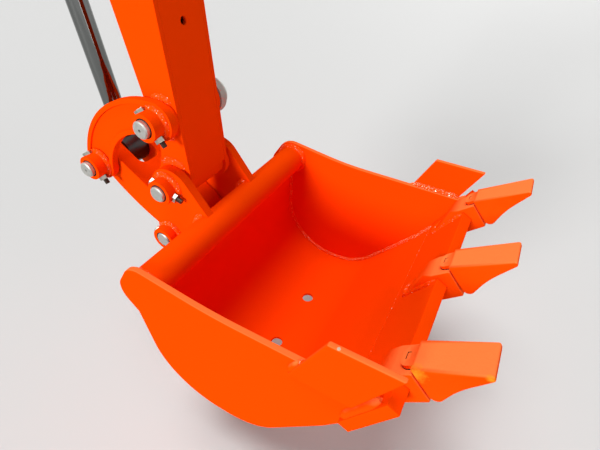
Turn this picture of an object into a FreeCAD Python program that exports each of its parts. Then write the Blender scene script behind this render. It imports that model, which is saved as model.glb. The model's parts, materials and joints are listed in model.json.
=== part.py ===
import FreeCAD, Part
import math
import os
import re
import Sketcher

# Excavator dipper arm with bucket, tipping linkage and bucket cylinder, in millimetres.
# X runs along the pins, +Y points away from the machine, +Z up.
# The origin is the centre of the boom pivot bore. Side -1 is the left side, +1 the right.

V = FreeCAD.Vector
NEAR = 0.001
doc = FreeCAD.newDocument("dipper_and_bucket")
sheet = doc.addObject("Spreadsheet::Sheet", "Sizes")

# Each size: name, value, what it is
SIZES = [
    # pins and the fits they run in
    ("pin_radius", 12.5, "working pins of the linkage"),
    ("pin_clearance", 0.05, "radial running clearance of a pin in its bore"),
    ("pin_chamfer", 0.8, "edge of the pins' ends"),
    ("rocker_pin_proud", 7.0, "how far the rocker pin stands out of its left boss"),
    ("rod_pin_proud", 7.0, "how far the rod pin stands out of its left boss"),
    ("bucket_pin_proud", 4.5, "how far the bucket pin stands out of its left boss"),
    ("link_pin_proud", 1.0, "how far the link pin stands out of its left boss"),
    ("cylinder_pin_proud", 2.0, "how far the cylinder's upper pin stands out of the lugs"),
    ("pin_head_radius", 22.5, "round head on the right end of a pin"),
    ("pin_head_length", 5.0, "length of that head"),
    ("boss_radius", 20.0, "outside of the bosses that hold the pins"),
    ("boss_face", 82.0, "outer face of the left bosses from the middle plane"),
    ("short_boss_face", 65.0, "outer face of the right bosses, which the pins' heads lie on"),
    ("bore_chamfer", 2.0, "chamfer of the bores in the bosses' outer faces"),
    ("side_gap", 1.0, "gap between the arm's end and the ears or rocker plates"),
    # where the pins are
    ("bucket_pivot_y", -60.0, "bucket pivot from the boom pivot"),
    ("bucket_pivot_z", -846.4, "bucket pivot from the boom pivot"),
    ("rocker_pivot_y", -59.3, "rocker pivot from the boom pivot"),
    ("rocker_pivot_z", -743.3, "rocker pivot from the boom pivot"),
    ("rod_pin_y", 87.5, "pin of rocker, link and rod from the boom pivot"),
    ("rod_pin_z", -851.8, "pin of rocker, link and rod from the boom pivot"),
    ("ear_pin_dy", 13.3, "link pin in the ears from the bucket pivot"),
    ("ear_pin_dz", -96.5, "link pin in the ears from the bucket pivot"),
    ("cylinder_pin_y", 176.5, "bucket cylinder's upper pin"),
    ("cylinder_pin_z", -165.0, "bucket cylinder's upper pin"),
    # dipper arm
    ("arm_half_width", 43.5, "outer faces of the arm's side plates"),
    ("arm_side_plate", 6.0, "side plates of the arm"),
    ("arm_cross_plate", 6.0, "front and rear plates of the arm"),
    ("arm_end_radius", 32.0, "rounded end round the bucket pivot"),
    ("arm_foot_y", -40.0, "front face at the waist between the two lower pivots"),
    ("arm_waist_z", -795.0, "height of that waist"),
    ("arm_waist_radius", 60.0, "bend of the waist"),
    ("arm_shoulder_y", 43.0, "centre of the bend where the front turns in to the tail"),
    ("arm_shoulder_z", -35.0, "centre of that bend"),
    ("arm_shoulder_radius", 60.0, "bend of the shoulder"),
    ("boom_end_radius", 38.0, "rear of the arm round the boom pivot"),
    ("arm_plate_foot", 8.0, "lower end of front and rear plates above the bucket pivot"),
    ("arm_hole_radius", 5.0, "small hole in the rear plate"),
    ("arm_hole_z", -626.0, "that hole from the boom pivot"),
    ("tail_pin_y", 42.0, "arm cylinder's pin at the tail"),
    ("tail_pin_z", 175.0, "arm cylinder's pin at the tail"),
    ("tail_radius", 31.0, "rounded tail round that pin"),
    ("rocker_tube_radius", 19.5, "tube of the rocker pivot"),
    ("rocker_collar_radius", 26.0, "collars of that tube outside the side plates"),
    ("tube_proud", 4.0, "how far the pivot tubes and collars stand out of the arm"),
    ("boom_tube_radius", 31.0, "tube of the boom pivot"),
    ("boom_tube_half", 57.0, "half the length of the boom pivot's tube"),
    ("boom_bore_radius", 15.0, "bore of the boom pivot"),
    ("tail_tube_radius", 24.0, "tube of the arm cylinder's pin"),
    # bucket cylinder
    ("lug_plate", 12.0, "lug plates of the cylinder"),
    ("lug_radius", 27.0, "rounded tip of the lugs"),
    ("lug_foot_low_y", 55.0, "lower end of the lugs' foot, inside the front face"),
    ("lug_foot_low_z", -228.0, "lower end of the lugs' foot"),
    ("lug_foot_high_y", 85.0, "upper end of the lugs' foot, inside the front face"),
    ("lug_foot_high_z", -86.0, "upper end of the lugs' foot"),
    ("eye_radius", 28.0, "cylinder eyes"),
    ("eye_half", 19.5, "half the width of the cylinder eyes"),
    ("rod_radius", 15.0, "piston rod"),
    ("rod_length", 372.0, "piston rod from its eye's centre"),
    ("barrel_radius", 30.0, "cylinder barrel"),
    ("barrel_bore", 25.0, "bore of the barrel"),
    ("barrel_start", 64.0, "closed end of the barrel from the upper pin"),
    ("barrel_end", 416.0, "open end of the barrel from the upper pin"),
    ("base_plate", 14.0, "closed end's wall"),
    ("gland_radius", 33.0, "gland nut"),
    ("gland_length", 26.0, "gland nut"),
    # rocker pair
    ("rocker_plate", 12.0, "rocker plates"),
    ("rocker_end_radius", 28.0, "rounded ends of the rocker"),
    ("rocker_outer_radius", 178.0, "outer edge of the rocker"),
    ("rocker_inner_radius", 100.0, "inner edge of the rocker"),
    ("rocker_rim", 7.0, "width of the rocker's raised rim"),
    ("rocker_recess", 3.0, "depth of its recessed web"),
    # connecting link
    ("link_half_width", 46.5, "half the width of the connecting link"),
    ("link_end_radius", 24.0, "rounded ends of the link"),
    ("link_outer_radius", 357.0, "outer edge of the link"),
    ("link_slot_half", 20.5, "half the slot for the rod's eye"),
    ("link_slot_depth", 46.0, "slot's depth from the rod pin"),
    ("link_slot_corner", 12.0, "corner radius at the slot's end"),
    # bucket: u runs from the torque tube to the teeth (-Y), all from the tube's centre
    ("tube_du", 70.9, "torque tube from the bucket pivot, towards the teeth"),
    ("tube_dz", -53.4, "torque tube from the bucket pivot"),
    ("tube_radius", 24.25, "torque tube"),
    ("tube_wall", 5.0, "wall of the torque tube"),
    ("bucket_half_width", 200.0, "outer faces of the bucket's side plates"),
    ("bucket_side", 8.0, "bucket side plates"),
    ("side_end_radius", 32.0, "side plates round the torque tube"),
    ("side_bulge_radius", 32.0, "side plates below the torque tube"),
    ("side_bulge_du", -13.0, "centre of that bulge"),
    ("side_bulge_dz", -20.0, "centre of that bulge"),
    ("neck_du", -22.5, "corner under the bulge"),
    ("neck_dz", -58.0, "corner under the bulge"),
    ("neck_radius", 8.0, "rounding of that corner"),
    ("side_heel_du", 7.0, "foot of the side plates' leaning back edge, at the floor"),
    ("side_heel_radius", 110.0, "bend from that edge to the floor"),
    ("rim_drop", 17.4, "rim of the side plates above the tube's centre"),
    ("rim_bend_du", 110.0, "bend of the side plates' rim"),
    ("rim_radius", 600.0, "bend of the side plates' rim"),
    ("wrapper_plate", 6.0, "curved bottom plate"),
    ("seat_gap", 0.3, "gap between the wrapper's back and the torque tube"),
    ("back_du", -2.0, "inner face of the bucket's back"),
    ("floor_dz", -208.2, "inner face of the bucket's floor"),
    ("heel_radius", 110.0, "bend from back to floor"),
    ("toe_du", 160.6, "where the floor turns up to the lip"),
    ("toe_radius", 100.0, "bend from floor to front"),
    ("front_du", 261.3, "where the front turns steeper"),
    ("front_dz", -88.3, "where the front turns steeper"),
    ("front_radius", 100.0, "bend of the front"),
    ("lip_du", 285.5, "rear upper edge of the lip plate"),
    ("lip_dz", -47.2, "rear upper edge of the lip plate"),
    ("lip_length", 93.0, "lip plate, from rear to front edge"),
    ("lip_plate", 16.0, "lip plate"),
    ("lip_step", 4.0, "how far the lip's upper face stands over the wrapper"),
    ("lip_slope", 62.0, "lip plate over the horizontal, in degrees"),
    ("lip_overhang", 8.0, "lip past the side plates"),
    ("drain_du", 116.0, "drain holes"),
    ("drain_x", 58.0, "drain holes from the middle plane"),
    ("drain_radius", 10.0, "drain holes"),
    # ears
    ("ear_plate", 14.0, "ears of the bucket"),
    ("ear_tip_radius", 37.0, "rounded tip of the ear"),
    ("ear_tip_dy", -6.0, "centre of the tip from the bucket pivot"),
    ("ear_tip_dz", -5.0, "centre of the tip from the bucket pivot"),
    ("ear_top_radius", 15.0, "ear over the torque tube"),
    ("ear_pin_end_radius", 26.0, "ear round the link pin"),
    ("ear_heel_dz", -98.0, "lower end of the ear on the bucket's back"),
    # side cutters
    ("cutter_plate", 7.0, "side cutters"),
    ("cutter_length", 77.0, "side cutter along its edge"),
    ("cutter_height", 87.0, "side cutter"),
    ("cutter_slant", 42.0, "side cutter's lean towards the teeth"),
    ("cutter_behind", 23.4, "upper rear corner of the side cutter, behind the lip's rear edge"),
    ("cutter_above", 119.7, "that corner of the right side cutter above the lip's rear edge"),
    ("cutter_left_rise", 8.5, "how much higher the left side cutter is welded on"),
    # teeth
    ("tooth_side_gap", 14.7, "clear space between an outer tooth and the bucket's side plate"),
    ("tooth_width", 41.0, "teeth"),
    ("tooth_ahead", 7.7, "upper back corner of a tooth, ahead of the lip's upper front edge"),
    ("tooth_above", 22.3, "that corner above the lip's upper front edge"),
    ("tooth_run", 63.6, "upper edge of the tip, ahead of that corner"),
    ("tooth_rise", 42.9, "upper edge of the tip, above that corner"),
    ("tooth_back_run", 33.5, "lower back corner, ahead of the upper one"),
    ("tooth_back_drop", 37.5, "lower back corner, below the upper one"),
    ("tooth_tip_edge", 6.0, "thickness of the tooth's tip"),
    ("tooth_heel_radius", 8.0, "rounded lower back corner of a tooth"),
    ("tooth_hollow", 5.5, "how far the tooth's lower edge is hollow"),
    ("tooth_hollow_radius", 120.0, "bend of that hollow edge"),
    ("tooth_tip_radius", 2.5, "rounding of the tip"),
    ("tooth_edge_radius", 2.5, "rounding of the tooth's long edges"),
    ("tooth_gap", 2.0, "open joint between a tooth and its adapter"),
    ("tongue_length", 16.0, "tongue of the tooth over its adapter"),
    ("tongue_width", 27.0, "width of the tongue"),
    ("tongue_height", 5.0, "height of the tongue over the adapter"),
    ("tongue_root", 4.0, "how deep the tongue's root lies in the tooth"),
    ("tongue_corner", 9.0, "rounded rear corners of the tongue"),
    ("tongue_gap", 0.3, "gap under the tongue"),
    ("lock_centre", 8.5, "recess of the lock in the tongue, from the tooth's back"),
    ("lock_length", 5.0, "recess of the lock"),
    ("lock_width", 10.0, "recess of the lock"),
    ("lock_depth", 2.5, "recess of the lock"),
    ("adapter_low_half", 19.0, "adapter's front below the tooth's middle line"),
    ("adapter_top_half", 19.5, "adapter's front above the tooth's middle line"),
    ("nose_back_half", 14.0, "half the height of the adapter's nose at its root"),
    ("nose_tip_half", 5.0, "half the height of the nose at its tip"),
    ("nose_length", 36.0, "nose inside the tooth"),
    ("nose_width", 27.0, "nose inside the tooth"),
    ("adapter_tail", 20.0, "rear end of the adapter's upper leg, up from the lip's rear edge"),
    ("adapter_shoulder", 76.0, "where the upper leg reaches its full height"),
    ("adapter_leg", 12.0, "height of the adapter's legs"),
    ("adapter_tail_width", 12.0, "width of the upper leg's rear end"),
    ("adapter_foot", 70.0, "rear end of the lower leg, up from the lip's rear edge"),
]
NAMES = [row[0] for row in SIZES]
for row_number, (name, value, meaning) in enumerate(SIZES, start=1):
    sheet.set(f"A{row_number}", meaning)
    sheet.set(f"B{row_number}", str(value))
    sheet.setAlias(f"B{row_number}", name)
doc.recompute()


def bound(text):
    """The expression with every size's name tied to its cell."""
    def tied(word):
        return "Sizes." + word.group() if word.group() in NAMES else word.group()
    return re.sub(r"[a-z_]+", tied, str(text))


def size(text):
    """The number that an expression of sizes gives."""
    return float(sheet.evalExpression(bound(text)))


# Sketches on the plane of Y and Z

def tie(sketch, made, texts):
    """Give each listed constraint its expression."""
    for index, text in zip(made, texts):
        if text is not None:
            sketch.setExpression(f"Constraints[{index}]", bound(text))


def place_point(sketch, geo, pos, y, z):
    made = sketch.addConstraint([
        Sketcher.Constraint("DistanceX", -1, 1, geo, pos, size(y)),
        Sketcher.Constraint("DistanceY", -1, 1, geo, pos, size(z)),
    ])
    tie(sketch, made, (y, z))


def round_arc(centre, radius, start, end):
    """An arc from start to end, turning left for a positive radius and right for a negative one."""
    first, last = (start, end) if radius > 0 else (end, start)
    a = math.atan2(first.y - centre.y, first.x - centre.x)
    b = math.atan2(last.y - centre.y, last.x - centre.x)
    return Part.ArcOfCircle(Part.Circle(centre, V(0, 0, 1), abs(radius)), a, b)


def outline(sketch, corners):
    """A closed outline, anticlockwise. A corner is ("round", y, z, r) with the centre of its arc,
    or ("corner", y, z, r) with its sharp point, rounded by r. A hollow bend has a negative radius."""
    n = len(corners)
    spots = [V(size(c[1]), size(c[2]), 0) for c in corners]
    radii = [size(c[3]) if c[0] == "round" else 0.0 for c in corners]
    legs = []
    for i in range(n):
        j = (i + 1) % n
        run = spots[j] - spots[i]
        along = V(run).normalize()
        left = V(-along.y, along.x, 0)
        sine = (radii[j] - radii[i]) / run.Length
        normal = along * sine + left * math.sqrt(1 - sine * sine)
        legs.append([spots[i] - normal * radii[i], spots[j] - normal * radii[j]])
    arcs = [None] * n
    for j in range(n):
        i = (j - 1) % n
        if corners[j][0] == "round":
            arcs[j] = (spots[j], radii[j])
        elif size(corners[j][3]) > 0:
            before = (legs[i][1] - legs[i][0]).normalize()
            after = (legs[j][1] - legs[j][0]).normalize()
            cross = before.x * after.y - before.y * after.x
            turn = math.atan2(cross, before.dot(after))
            bend = size(corners[j][3])
            cut = bend * math.tan(abs(turn) / 2)
            legs[i][1] = legs[i][1] - before * cut
            legs[j][0] = legs[j][0] + after * cut
            hand = 1 if turn > 0 else -1
            arcs[j] = (legs[i][1] + V(-before.y, before.x, 0) * (bend * hand), bend * hand)
    lines = [sketch.addGeometry(Part.LineSegment(a, b), False) for a, b in legs]
    for j in range(n):
        i = (j - 1) % n
        kind, y, z, r = corners[j]
        if arcs[j] is None:
            sketch.addConstraint(Sketcher.Constraint("Coincident", lines[i], 2, lines[j], 1))
            place_point(sketch, lines[j], 1, y, z)
            continue
        centre, radius = arcs[j]
        arc = sketch.addGeometry(round_arc(centre, radius, legs[i][1], legs[j][0]), False)
        head, foot = (1, 2) if radius > 0 else (2, 1)
        made = sketch.addConstraint([
            Sketcher.Constraint("Tangent", lines[i], 2, arc, head),
            Sketcher.Constraint("Tangent", arc, foot, lines[j], 1),
            Sketcher.Constraint("Radius", arc, abs(radius)),
        ])
        tie(sketch, made[2:], (f"abs({r})",))
        if kind == "round":
            place_point(sketch, arc, 3, y, z)
        else:
            point = sketch.addGeometry(Part.Point(spots[j]), True)
            sketch.addConstraint([
                Sketcher.Constraint("PointOnObject", point, 1, lines[i]),
                Sketcher.Constraint("PointOnObject", point, 1, lines[j]),
            ])
            place_point(sketch, point, 1, y, z)


def curved_bar(sketch, first, second, end, outer, inner):
    """A bar between two pins: round ends, an outer edge of one large arc, which bulges to the left of
    the way from the first pin to the second, and an inner edge that is an arc or, with None, straight."""
    a = V(size(first[0]), size(first[1]), 0)
    b = V(size(second[0]), size(second[1]), 0)
    along = (b - a).normalize()
    left = V(-along.y, along.x, 0)
    middle = (a + b) * 0.5
    half = (b - a).Length / 2
    r = size(end)
    big = size(outer)
    centre_out = middle - left * math.sqrt((big - r) ** 2 - half ** 2)
    out_a = centre_out + (a - centre_out).normalize() * big
    out_b = centre_out + (b - centre_out).normalize() * big
    if inner is None:
        in_a, in_b = a - left * r, b - left * r
    else:
        small = size(inner)
        centre_in = middle - left * math.sqrt((small + r) ** 2 - half ** 2)
        in_a = centre_in + (a - centre_in).normalize() * small
        in_b = centre_in + (b - centre_in).normalize() * small
    # anticlockwise: inner edge from a to b, end b, outer edge back to a, end a
    if inner is None:
        edge = sketch.addGeometry(Part.LineSegment(in_a, in_b), False)
    else:
        edge = sketch.addGeometry(round_arc(centre_in, -small, in_a, in_b), False)
    head, foot = (1, 2) if inner is None else (2, 1)
    end_b = sketch.addGeometry(round_arc(b, r, in_b, out_b), False)
    back = sketch.addGeometry(round_arc(centre_out, big, out_b, out_a), False)
    end_a = sketch.addGeometry(round_arc(a, r, out_a, in_a), False)
    made = sketch.addConstraint([
        Sketcher.Constraint("Tangent", edge, foot, end_b, 1),
        Sketcher.Constraint("Tangent", end_b, 2, back, 1),
        Sketcher.Constraint("Tangent", back, 2, end_a, 1),
        Sketcher.Constraint("Tangent", end_a, 2, edge, head),
        Sketcher.Constraint("Radius", end_a, r),
        Sketcher.Constraint("Radius", end_b, r),
        Sketcher.Constraint("Radius", back, big),
    ])
    tie(sketch, made[4:], (end, end, outer))
    if inner is not None:
        made = sketch.addConstraint([Sketcher.Constraint("Radius", edge, small)])
        tie(sketch, made, (inner,))
    place_point(sketch, end_a, 3, *first)
    place_point(sketch, end_b, 3, *second)


def round_hole(sketch, y, z, radius):
    circle = sketch.addGeometry(Part.Circle(V(size(y), size(z), 0), V(0, 0, 1), size(radius)), False)
    made = sketch.addConstraint([Sketcher.Constraint("Radius", circle, size(radius))])
    tie(sketch, made, (radius,))
    place_point(sketch, circle, 3, y, z)


# Bodies

def new_body(name, start="0"):
    """A body whose own zero plane stands at X = start."""
    body = doc.addObject("PartDesign::Body", name)
    body.Label = name
    body.setExpression("Placement.Base.x", bound(start))
    return body


def new_sketch(body, draw, lift="0", plane="YZ_Plane"):
    sketch = body.newObject("Sketcher::SketchObject", body.Name + "_sketch")
    sketch.AttachmentSupport = [([f for f in body.Origin.OriginFeatures if f.Role == plane][0], "")]
    sketch.MapMode = "FlatFace"
    sketch.setExpression("AttachmentOffset.Base.z", bound(lift))
    draw(sketch)
    doc.recompute()
    return sketch


def pad(body, draw, length, side=1, middle=False, lift="0"):
    """Add an extrusion along +X for side 1 and along -X for side -1."""
    feature = body.newObject("PartDesign::Pad", body.Name + "_pad")
    feature.Profile = new_sketch(body, draw, lift)
    feature.Midplane = middle
    feature.Reversed = side < 0
    feature.setExpression("Length", bound(length))
    doc.recompute()
    return feature


def pocket(body, draw, length=None, side=1, lift="0", middle=False, plane="YZ_Plane"):
    """Cut along +X for side 1 and along -X for side -1, or all the way both ways."""
    volume = body.Shape.Volume
    feature = body.newObject("PartDesign::Pocket", body.Name + "_pocket")
    feature.Profile = new_sketch(body, draw, lift, plane)
    if length is None:
        feature.Type = 1
        feature.Midplane = True
    else:
        feature.Midplane = middle
        feature.Reversed = side > 0
        feature.setExpression("Length", bound(length))
    doc.recompute()
    if not body.Shape.Volume < volume - 1:
        raise RuntimeError(body.Label + ": a pocket cuts nothing")
    return feature


def hand(side):
    return "left" if side < 0 else "right"


def dress(body, kind, width, wanted):
    """Fillet or chamfer the edges that a test picks, in the body's own frame."""
    base = body.Tip
    edges = [f"Edge{number}" for number, edge in enumerate(base.Shape.Edges, start=1) if wanted(edge)]
    if not edges:
        raise RuntimeError(body.Label + ": no edge to dress")
    feature = body.newObject("PartDesign::" + kind, body.Name + "_" + kind.lower())
    feature.Base = (base, edges)
    feature.setExpression("Radius" if kind == "Fillet" else "Size", bound(width))
    doc.recompute()
    return feature


def rim_at(x, radius):
    """A test for the circular edge of a radius that lies in the plane at X = x."""
    def wanted(edge):
        round_edge = isinstance(edge.Curve, Part.Circle) and abs(edge.Curve.Radius - size(radius)) < NEAR
        return round_edge and abs(edge.CenterOfMass.x - size(x)) < NEAR
    return wanted


NODES = []


def keep(obj, name):
    obj.Label = name
    NODES.append(obj)
    return obj


PIVOT = ("bucket_pivot_y", "bucket_pivot_z")
ROCKER = ("rocker_pivot_y", "rocker_pivot_z")
ROD_PIN = ("rod_pin_y", "rod_pin_z")
EAR_PIN = ("(bucket_pivot_y + ear_pin_dy)", "(bucket_pivot_z + ear_pin_dz)")
CYLINDER_PIN = ("cylinder_pin_y", "cylinder_pin_z")
TAIL_PIN = ("tail_pin_y", "tail_pin_z")
BORE = "(pin_radius + pin_clearance)"


# Dipper arm: two side plates, front and rear plates between them, and the tubes of its pivots

ARM_ROUNDS = [
    # centre y, centre z, radius
    (PIVOT[0], PIVOT[1], "arm_end_radius"),
    ("(arm_foot_y + arm_waist_radius)", "arm_waist_z", "(0 - arm_waist_radius)"),
    ("arm_shoulder_y", "arm_shoulder_z", "arm_shoulder_radius"),
    (TAIL_PIN[0], TAIL_PIN[1], "tail_radius"),
    ("0", "0", "boom_end_radius"),
]


def arm_outline(inset):
    """The arm's side outline, drawn in by an inset."""
    return lambda sketch: outline(sketch, [("round", y, z, f"({r} - {inset})") for y, z, r in ARM_ROUNDS])


END_TUBE = "(arm_end_radius - arm_cross_plate)"


def arm_side_sketch(sketch):
    arm_outline("0")(sketch)
    round_hole(sketch, *PIVOT, END_TUBE)
    round_hole(sketch, *ROCKER, "rocker_tube_radius")
    round_hole(sketch, "0", "0", "boom_tube_radius")
    round_hole(sketch, *TAIL_PIN, "tail_tube_radius")


for side in (-1, 1):
    plate = new_body("arm_side_" + hand(side), f"{side} * (arm_half_width - arm_side_plate)")
    pad(plate, arm_side_sketch, "arm_side_plate", side)
    keep(plate, "arm_side_" + hand(side))

ARM_INSIDE = "(2 * (arm_half_width - arm_side_plate))"
CLEAR_OF_ARM = "(arm_shoulder_y + arm_shoulder_radius + tail_radius)"
ABOVE_ARM = "(tail_pin_z + 2 * tail_radius)"
BELOW_ARM = "(bucket_pivot_z - 2 * arm_end_radius)"


def arm_half(sketch, side):
    """Everything on one side of the arm's middle line: -1 behind it, 1 in front."""
    middle = [(PIVOT[0], BELOW_ARM), ("0", "0"), TAIL_PIN, (TAIL_PIN[0], ABOVE_ARM)]
    far = [(f"({side} * {CLEAR_OF_ARM})", ABOVE_ARM), (f"({side} * {CLEAR_OF_ARM})", BELOW_ARM)]
    corners = [("corner", y, z, "0") for y, z in middle + far]
    outline(sketch, corners if side < 0 else corners[::-1])


def arm_end_box(sketch):
    """Everything below the foot of the front and rear plates."""
    top = "(bucket_pivot_z + arm_plate_foot)"
    rear, front = f"(0 - {CLEAR_OF_ARM})", CLEAR_OF_ARM
    outline(sketch, [("corner", y, z, "0") for y, z in [
        (rear, BELOW_ARM), (front, BELOW_ARM), (front, top), (rear, top)]])


def rear_hole(sketch):
    round_hole(sketch, "0", "arm_hole_z", "arm_hole_radius")


for name, side in (("arm_front_plate", 1), ("arm_rear_plate", -1)):
    plate = new_body(name)
    pad(plate, arm_outline("0"), ARM_INSIDE, middle=True)
    pocket(plate, arm_outline("arm_cross_plate"))
    pocket(plate, lambda sketch: arm_half(sketch, -side))
    pocket(plate, arm_end_box)
    if name == "arm_rear_plate":
        pocket(plate, rear_hole, plane="XZ_Plane")
    keep(plate, name)


def ring_sketch(pin, radius, bore):
    def draw(sketch):
        round_hole(sketch, *pin, radius)
        round_hole(sketch, *pin, bore)
    return draw


def tube(name, pin, radius, half, bore, collar=None):
    """A tube across the middle plane, with a wider collar outside each side plate of the arm."""
    body = new_body(name)
    pad(body, ring_sketch(pin, radius, bore), f"(2 * {half})", middle=True)
    if collar:
        for side in (-1, 1):
            pad(body, ring_sketch(pin, collar, bore), "tube_proud", side, lift=f"{side} * arm_half_width")
    return keep(body, name)


ARM_TUBE_HALF = "(arm_half_width + tube_proud)"
tube("bucket_pivot_tube", PIVOT, END_TUBE, ARM_TUBE_HALF, BORE, "arm_end_radius")
tube("rocker_pivot_tube", ROCKER, "rocker_tube_radius", ARM_TUBE_HALF, BORE, "rocker_collar_radius")
tube("boom_pivot_tube", ("0", "0"), "boom_tube_radius", "boom_tube_half", "boom_bore_radius")
tube("tail_pin_tube", TAIL_PIN, "tail_tube_radius", ARM_TUBE_HALF, BORE)


def lug_sketch(sketch):
    outline(sketch, [
        ("corner", "lug_foot_low_y", "lug_foot_low_z", "0"),
        ("round", CYLINDER_PIN[0], CYLINDER_PIN[1], "lug_radius"),
        ("corner", "lug_foot_high_y", "lug_foot_high_z", "0"),
    ])
    round_hole(sketch, *CYLINDER_PIN, BORE)


for side in (-1, 1):
    lug = new_body("cylinder_lug_" + hand(side), f"{side} * (eye_half + side_gap)")
    pad(lug, lug_sketch, "lug_plate", side)
    pocket(lug, arm_outline("0"))
    keep(lug, "cylinder_lug_" + hand(side))


# Pins: a round bar that stands out of the long boss on the left and has a round head on the right

def pin_stub(name, pin, inner, outer, side):
    """The part of a pin on one side, from X = inner to X = outer, with its end or head."""
    stub = new_body(name, f"{side} * {inner}")
    length = f"({outer} - {inner})"
    pad(stub, lambda sketch: round_hole(sketch, *pin, "pin_radius"), length, side)
    end, radius = length, "pin_radius"
    if side > 0:
        pad(stub, lambda sketch: round_hole(sketch, *pin, "pin_head_radius"), "pin_head_length",
            lift=length)
        end, radius = f"({length} + pin_head_length)", "pin_head_radius"
    dress(stub, "Chamfer", "pin_chamfer", rim_at(f"{side} * {end}", radius))
    return stub


def whole_pin(name, pin, proud):
    both = new_body(name, f"(0 - boss_face - {proud})")
    length = f"(boss_face + {proud} + short_boss_face)"
    pad(both, lambda sketch: round_hole(sketch, *pin, "pin_radius"), length)
    pad(both, lambda sketch: round_hole(sketch, *pin, "pin_head_radius"), "pin_head_length", lift=length)
    dress(both, "Chamfer", "pin_chamfer", rim_at("0", "pin_radius"))
    dress(both, "Chamfer", "pin_chamfer", rim_at(f"({length} + pin_head_length)", "pin_head_radius"))
    return keep(both, name)


def half_pins(name, pin, inner, proud):
    """A pin whose middle is left out, where what it carries moves past it."""
    both = doc.addObject("Part::Compound", name)
    both.Links = [pin_stub(name + "_left", pin, inner, f"(boss_face + {proud})", -1),
                  pin_stub(name + "_right", pin, inner, "short_boss_face", 1)]
    return keep(both, name)


EAR_FACE = "(arm_half_width + tube_proud + side_gap)"
whole_pin("rocker_pin", ROCKER, "rocker_pin_proud")
whole_pin("bucket_pin", PIVOT, "bucket_pin_proud")
half_pins("rod_pin", ROD_PIN, "(eye_half + side_gap)", "rod_pin_proud")
half_pins("link_pin", EAR_PIN, EAR_FACE, "link_pin_proud")

upper_pin = new_body("cylinder_pin")
UPPER_PIN_HALF = "(eye_half + side_gap + lug_plate + cylinder_pin_proud)"
pad(upper_pin, lambda sketch: round_hole(sketch, *CYLINDER_PIN, "pin_radius"), f"(2 * {UPPER_PIN_HALF})",
    middle=True)
for side in (-1, 1):
    dress(upper_pin, "Chamfer", "pin_chamfer", rim_at(f"{side} * {UPPER_PIN_HALF}", "pin_radius"))
keep(upper_pin, "cylinder_pin")


def bosses(body, pins, side):
    """Bosses with chamfered bores on a plate that starts at the ears' inner face."""
    face = "boss_face" if side < 0 else "short_boss_face"
    length = f"({face} - {EAR_FACE})"
    for pin in pins:
        pad(body, lambda sketch: round_hole(sketch, *pin, "boss_radius"), length, side)
        pocket(body, lambda sketch: round_hole(sketch, *pin, BORE))
    dress(body, "Chamfer", "bore_chamfer", rim_at(f"{side} * {length}", BORE))


# Rocker pair

def rocker_bar(inset):
    """The rocker's side outline, drawn in by an inset."""
    return lambda sketch: curved_bar(sketch, ROCKER, ROD_PIN, f"(rocker_end_radius - {inset})",
                                     f"(rocker_outer_radius - {inset})", f"(rocker_inner_radius + {inset})")


for side in (-1, 1):
    rocker = new_body("rocker_" + hand(side), f"{side} * {EAR_FACE}")
    pad(rocker, rocker_bar("0"), "rocker_plate", side)
    pocket(rocker, rocker_bar("rocker_rim"), "rocker_recess", -side, lift=f"{side} * rocker_plate")
    bosses(rocker, (ROCKER, ROD_PIN), side)
    keep(rocker, "rocker_" + hand(side))

# Connecting link: a casting forked round the rod's eye

link = new_body("connecting_link")
pad(link, lambda sketch: curved_bar(sketch, ROD_PIN, EAR_PIN, "link_end_radius", "link_outer_radius", None),
    "(2 * link_half_width)", middle=True)
for pin in (ROD_PIN, EAR_PIN):
    pocket(link, lambda sketch: round_hole(sketch, *pin, BORE))


def between(first, second, s, n):
    """A point s along the way from the first pin to the second and n to the left of it."""
    dy, dz = f"({second[0]} - {first[0]})", f"({second[1]} - {first[1]})"
    span = f"sqrt({dy} ^ 2 + {dz} ^ 2)"
    return (f"({first[0]} + (({s}) * {dy} - ({n}) * {dz}) / {span})",
            f"({first[1]} + (({s}) * {dz} + ({n}) * {dy}) / {span})")


def slot_sketch(sketch):
    past = "(2 * link_end_radius)"
    outline(sketch, [("corner", *between(ROD_PIN, EAR_PIN, s, n), "0") for s, n in [
        (f"0 - {past}", f"0 - {past}"), ("link_slot_depth", f"0 - {past}"), ("link_slot_depth", past),
        (f"0 - {past}", past)]])


pocket(link, slot_sketch, "(2 * link_slot_half)", middle=True)
slot_foot = V(0, *[size(value) for value in between(ROD_PIN, EAR_PIN, "link_slot_depth", "0")])
slot_way = V(0, *[size(value) for value in between(ROD_PIN, EAR_PIN, "1", "0")])
slot_way = slot_way - V(0, *[size(value) for value in ROD_PIN])


def slot_corner(edge):
    """A test for the two upright edges of the slot's end wall."""
    middle = edge.CenterOfMass
    in_end_wall = abs((middle - slot_foot).dot(slot_way)) < 10 * NEAR
    return in_end_wall and abs(abs(middle.x) - size("link_slot_half")) < 10 * NEAR


dress(link, "Fillet", "link_slot_corner", slot_corner)
keep(link, "connecting_link")

# Bucket cylinder, turned about the line between its two pins


def revolve(name, first, second, profile):
    """A turned body. The profile is a table of s along the line between two pins and r from it."""
    body = new_body(name)

    def draw(sketch):
        a = V(size(first[0]), size(first[1]), 0)
        b = V(size(second[0]), size(second[1]), 0)
        axis = sketch.addGeometry(Part.LineSegment(a, b), True)
        place_point(sketch, axis, 1, *first)
        place_point(sketch, axis, 2, *second)
        outline(sketch, [("corner", *between(first, second, s, r), "0") for s, r in profile])
    feature = body.newObject("PartDesign::Revolution", name + "_turned")
    feature.Profile = new_sketch(body, draw)
    feature.ReferenceAxis = (feature.Profile[0], ["Axis0"])
    feature.Angle = 360
    doc.recompute()
    return body


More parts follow.
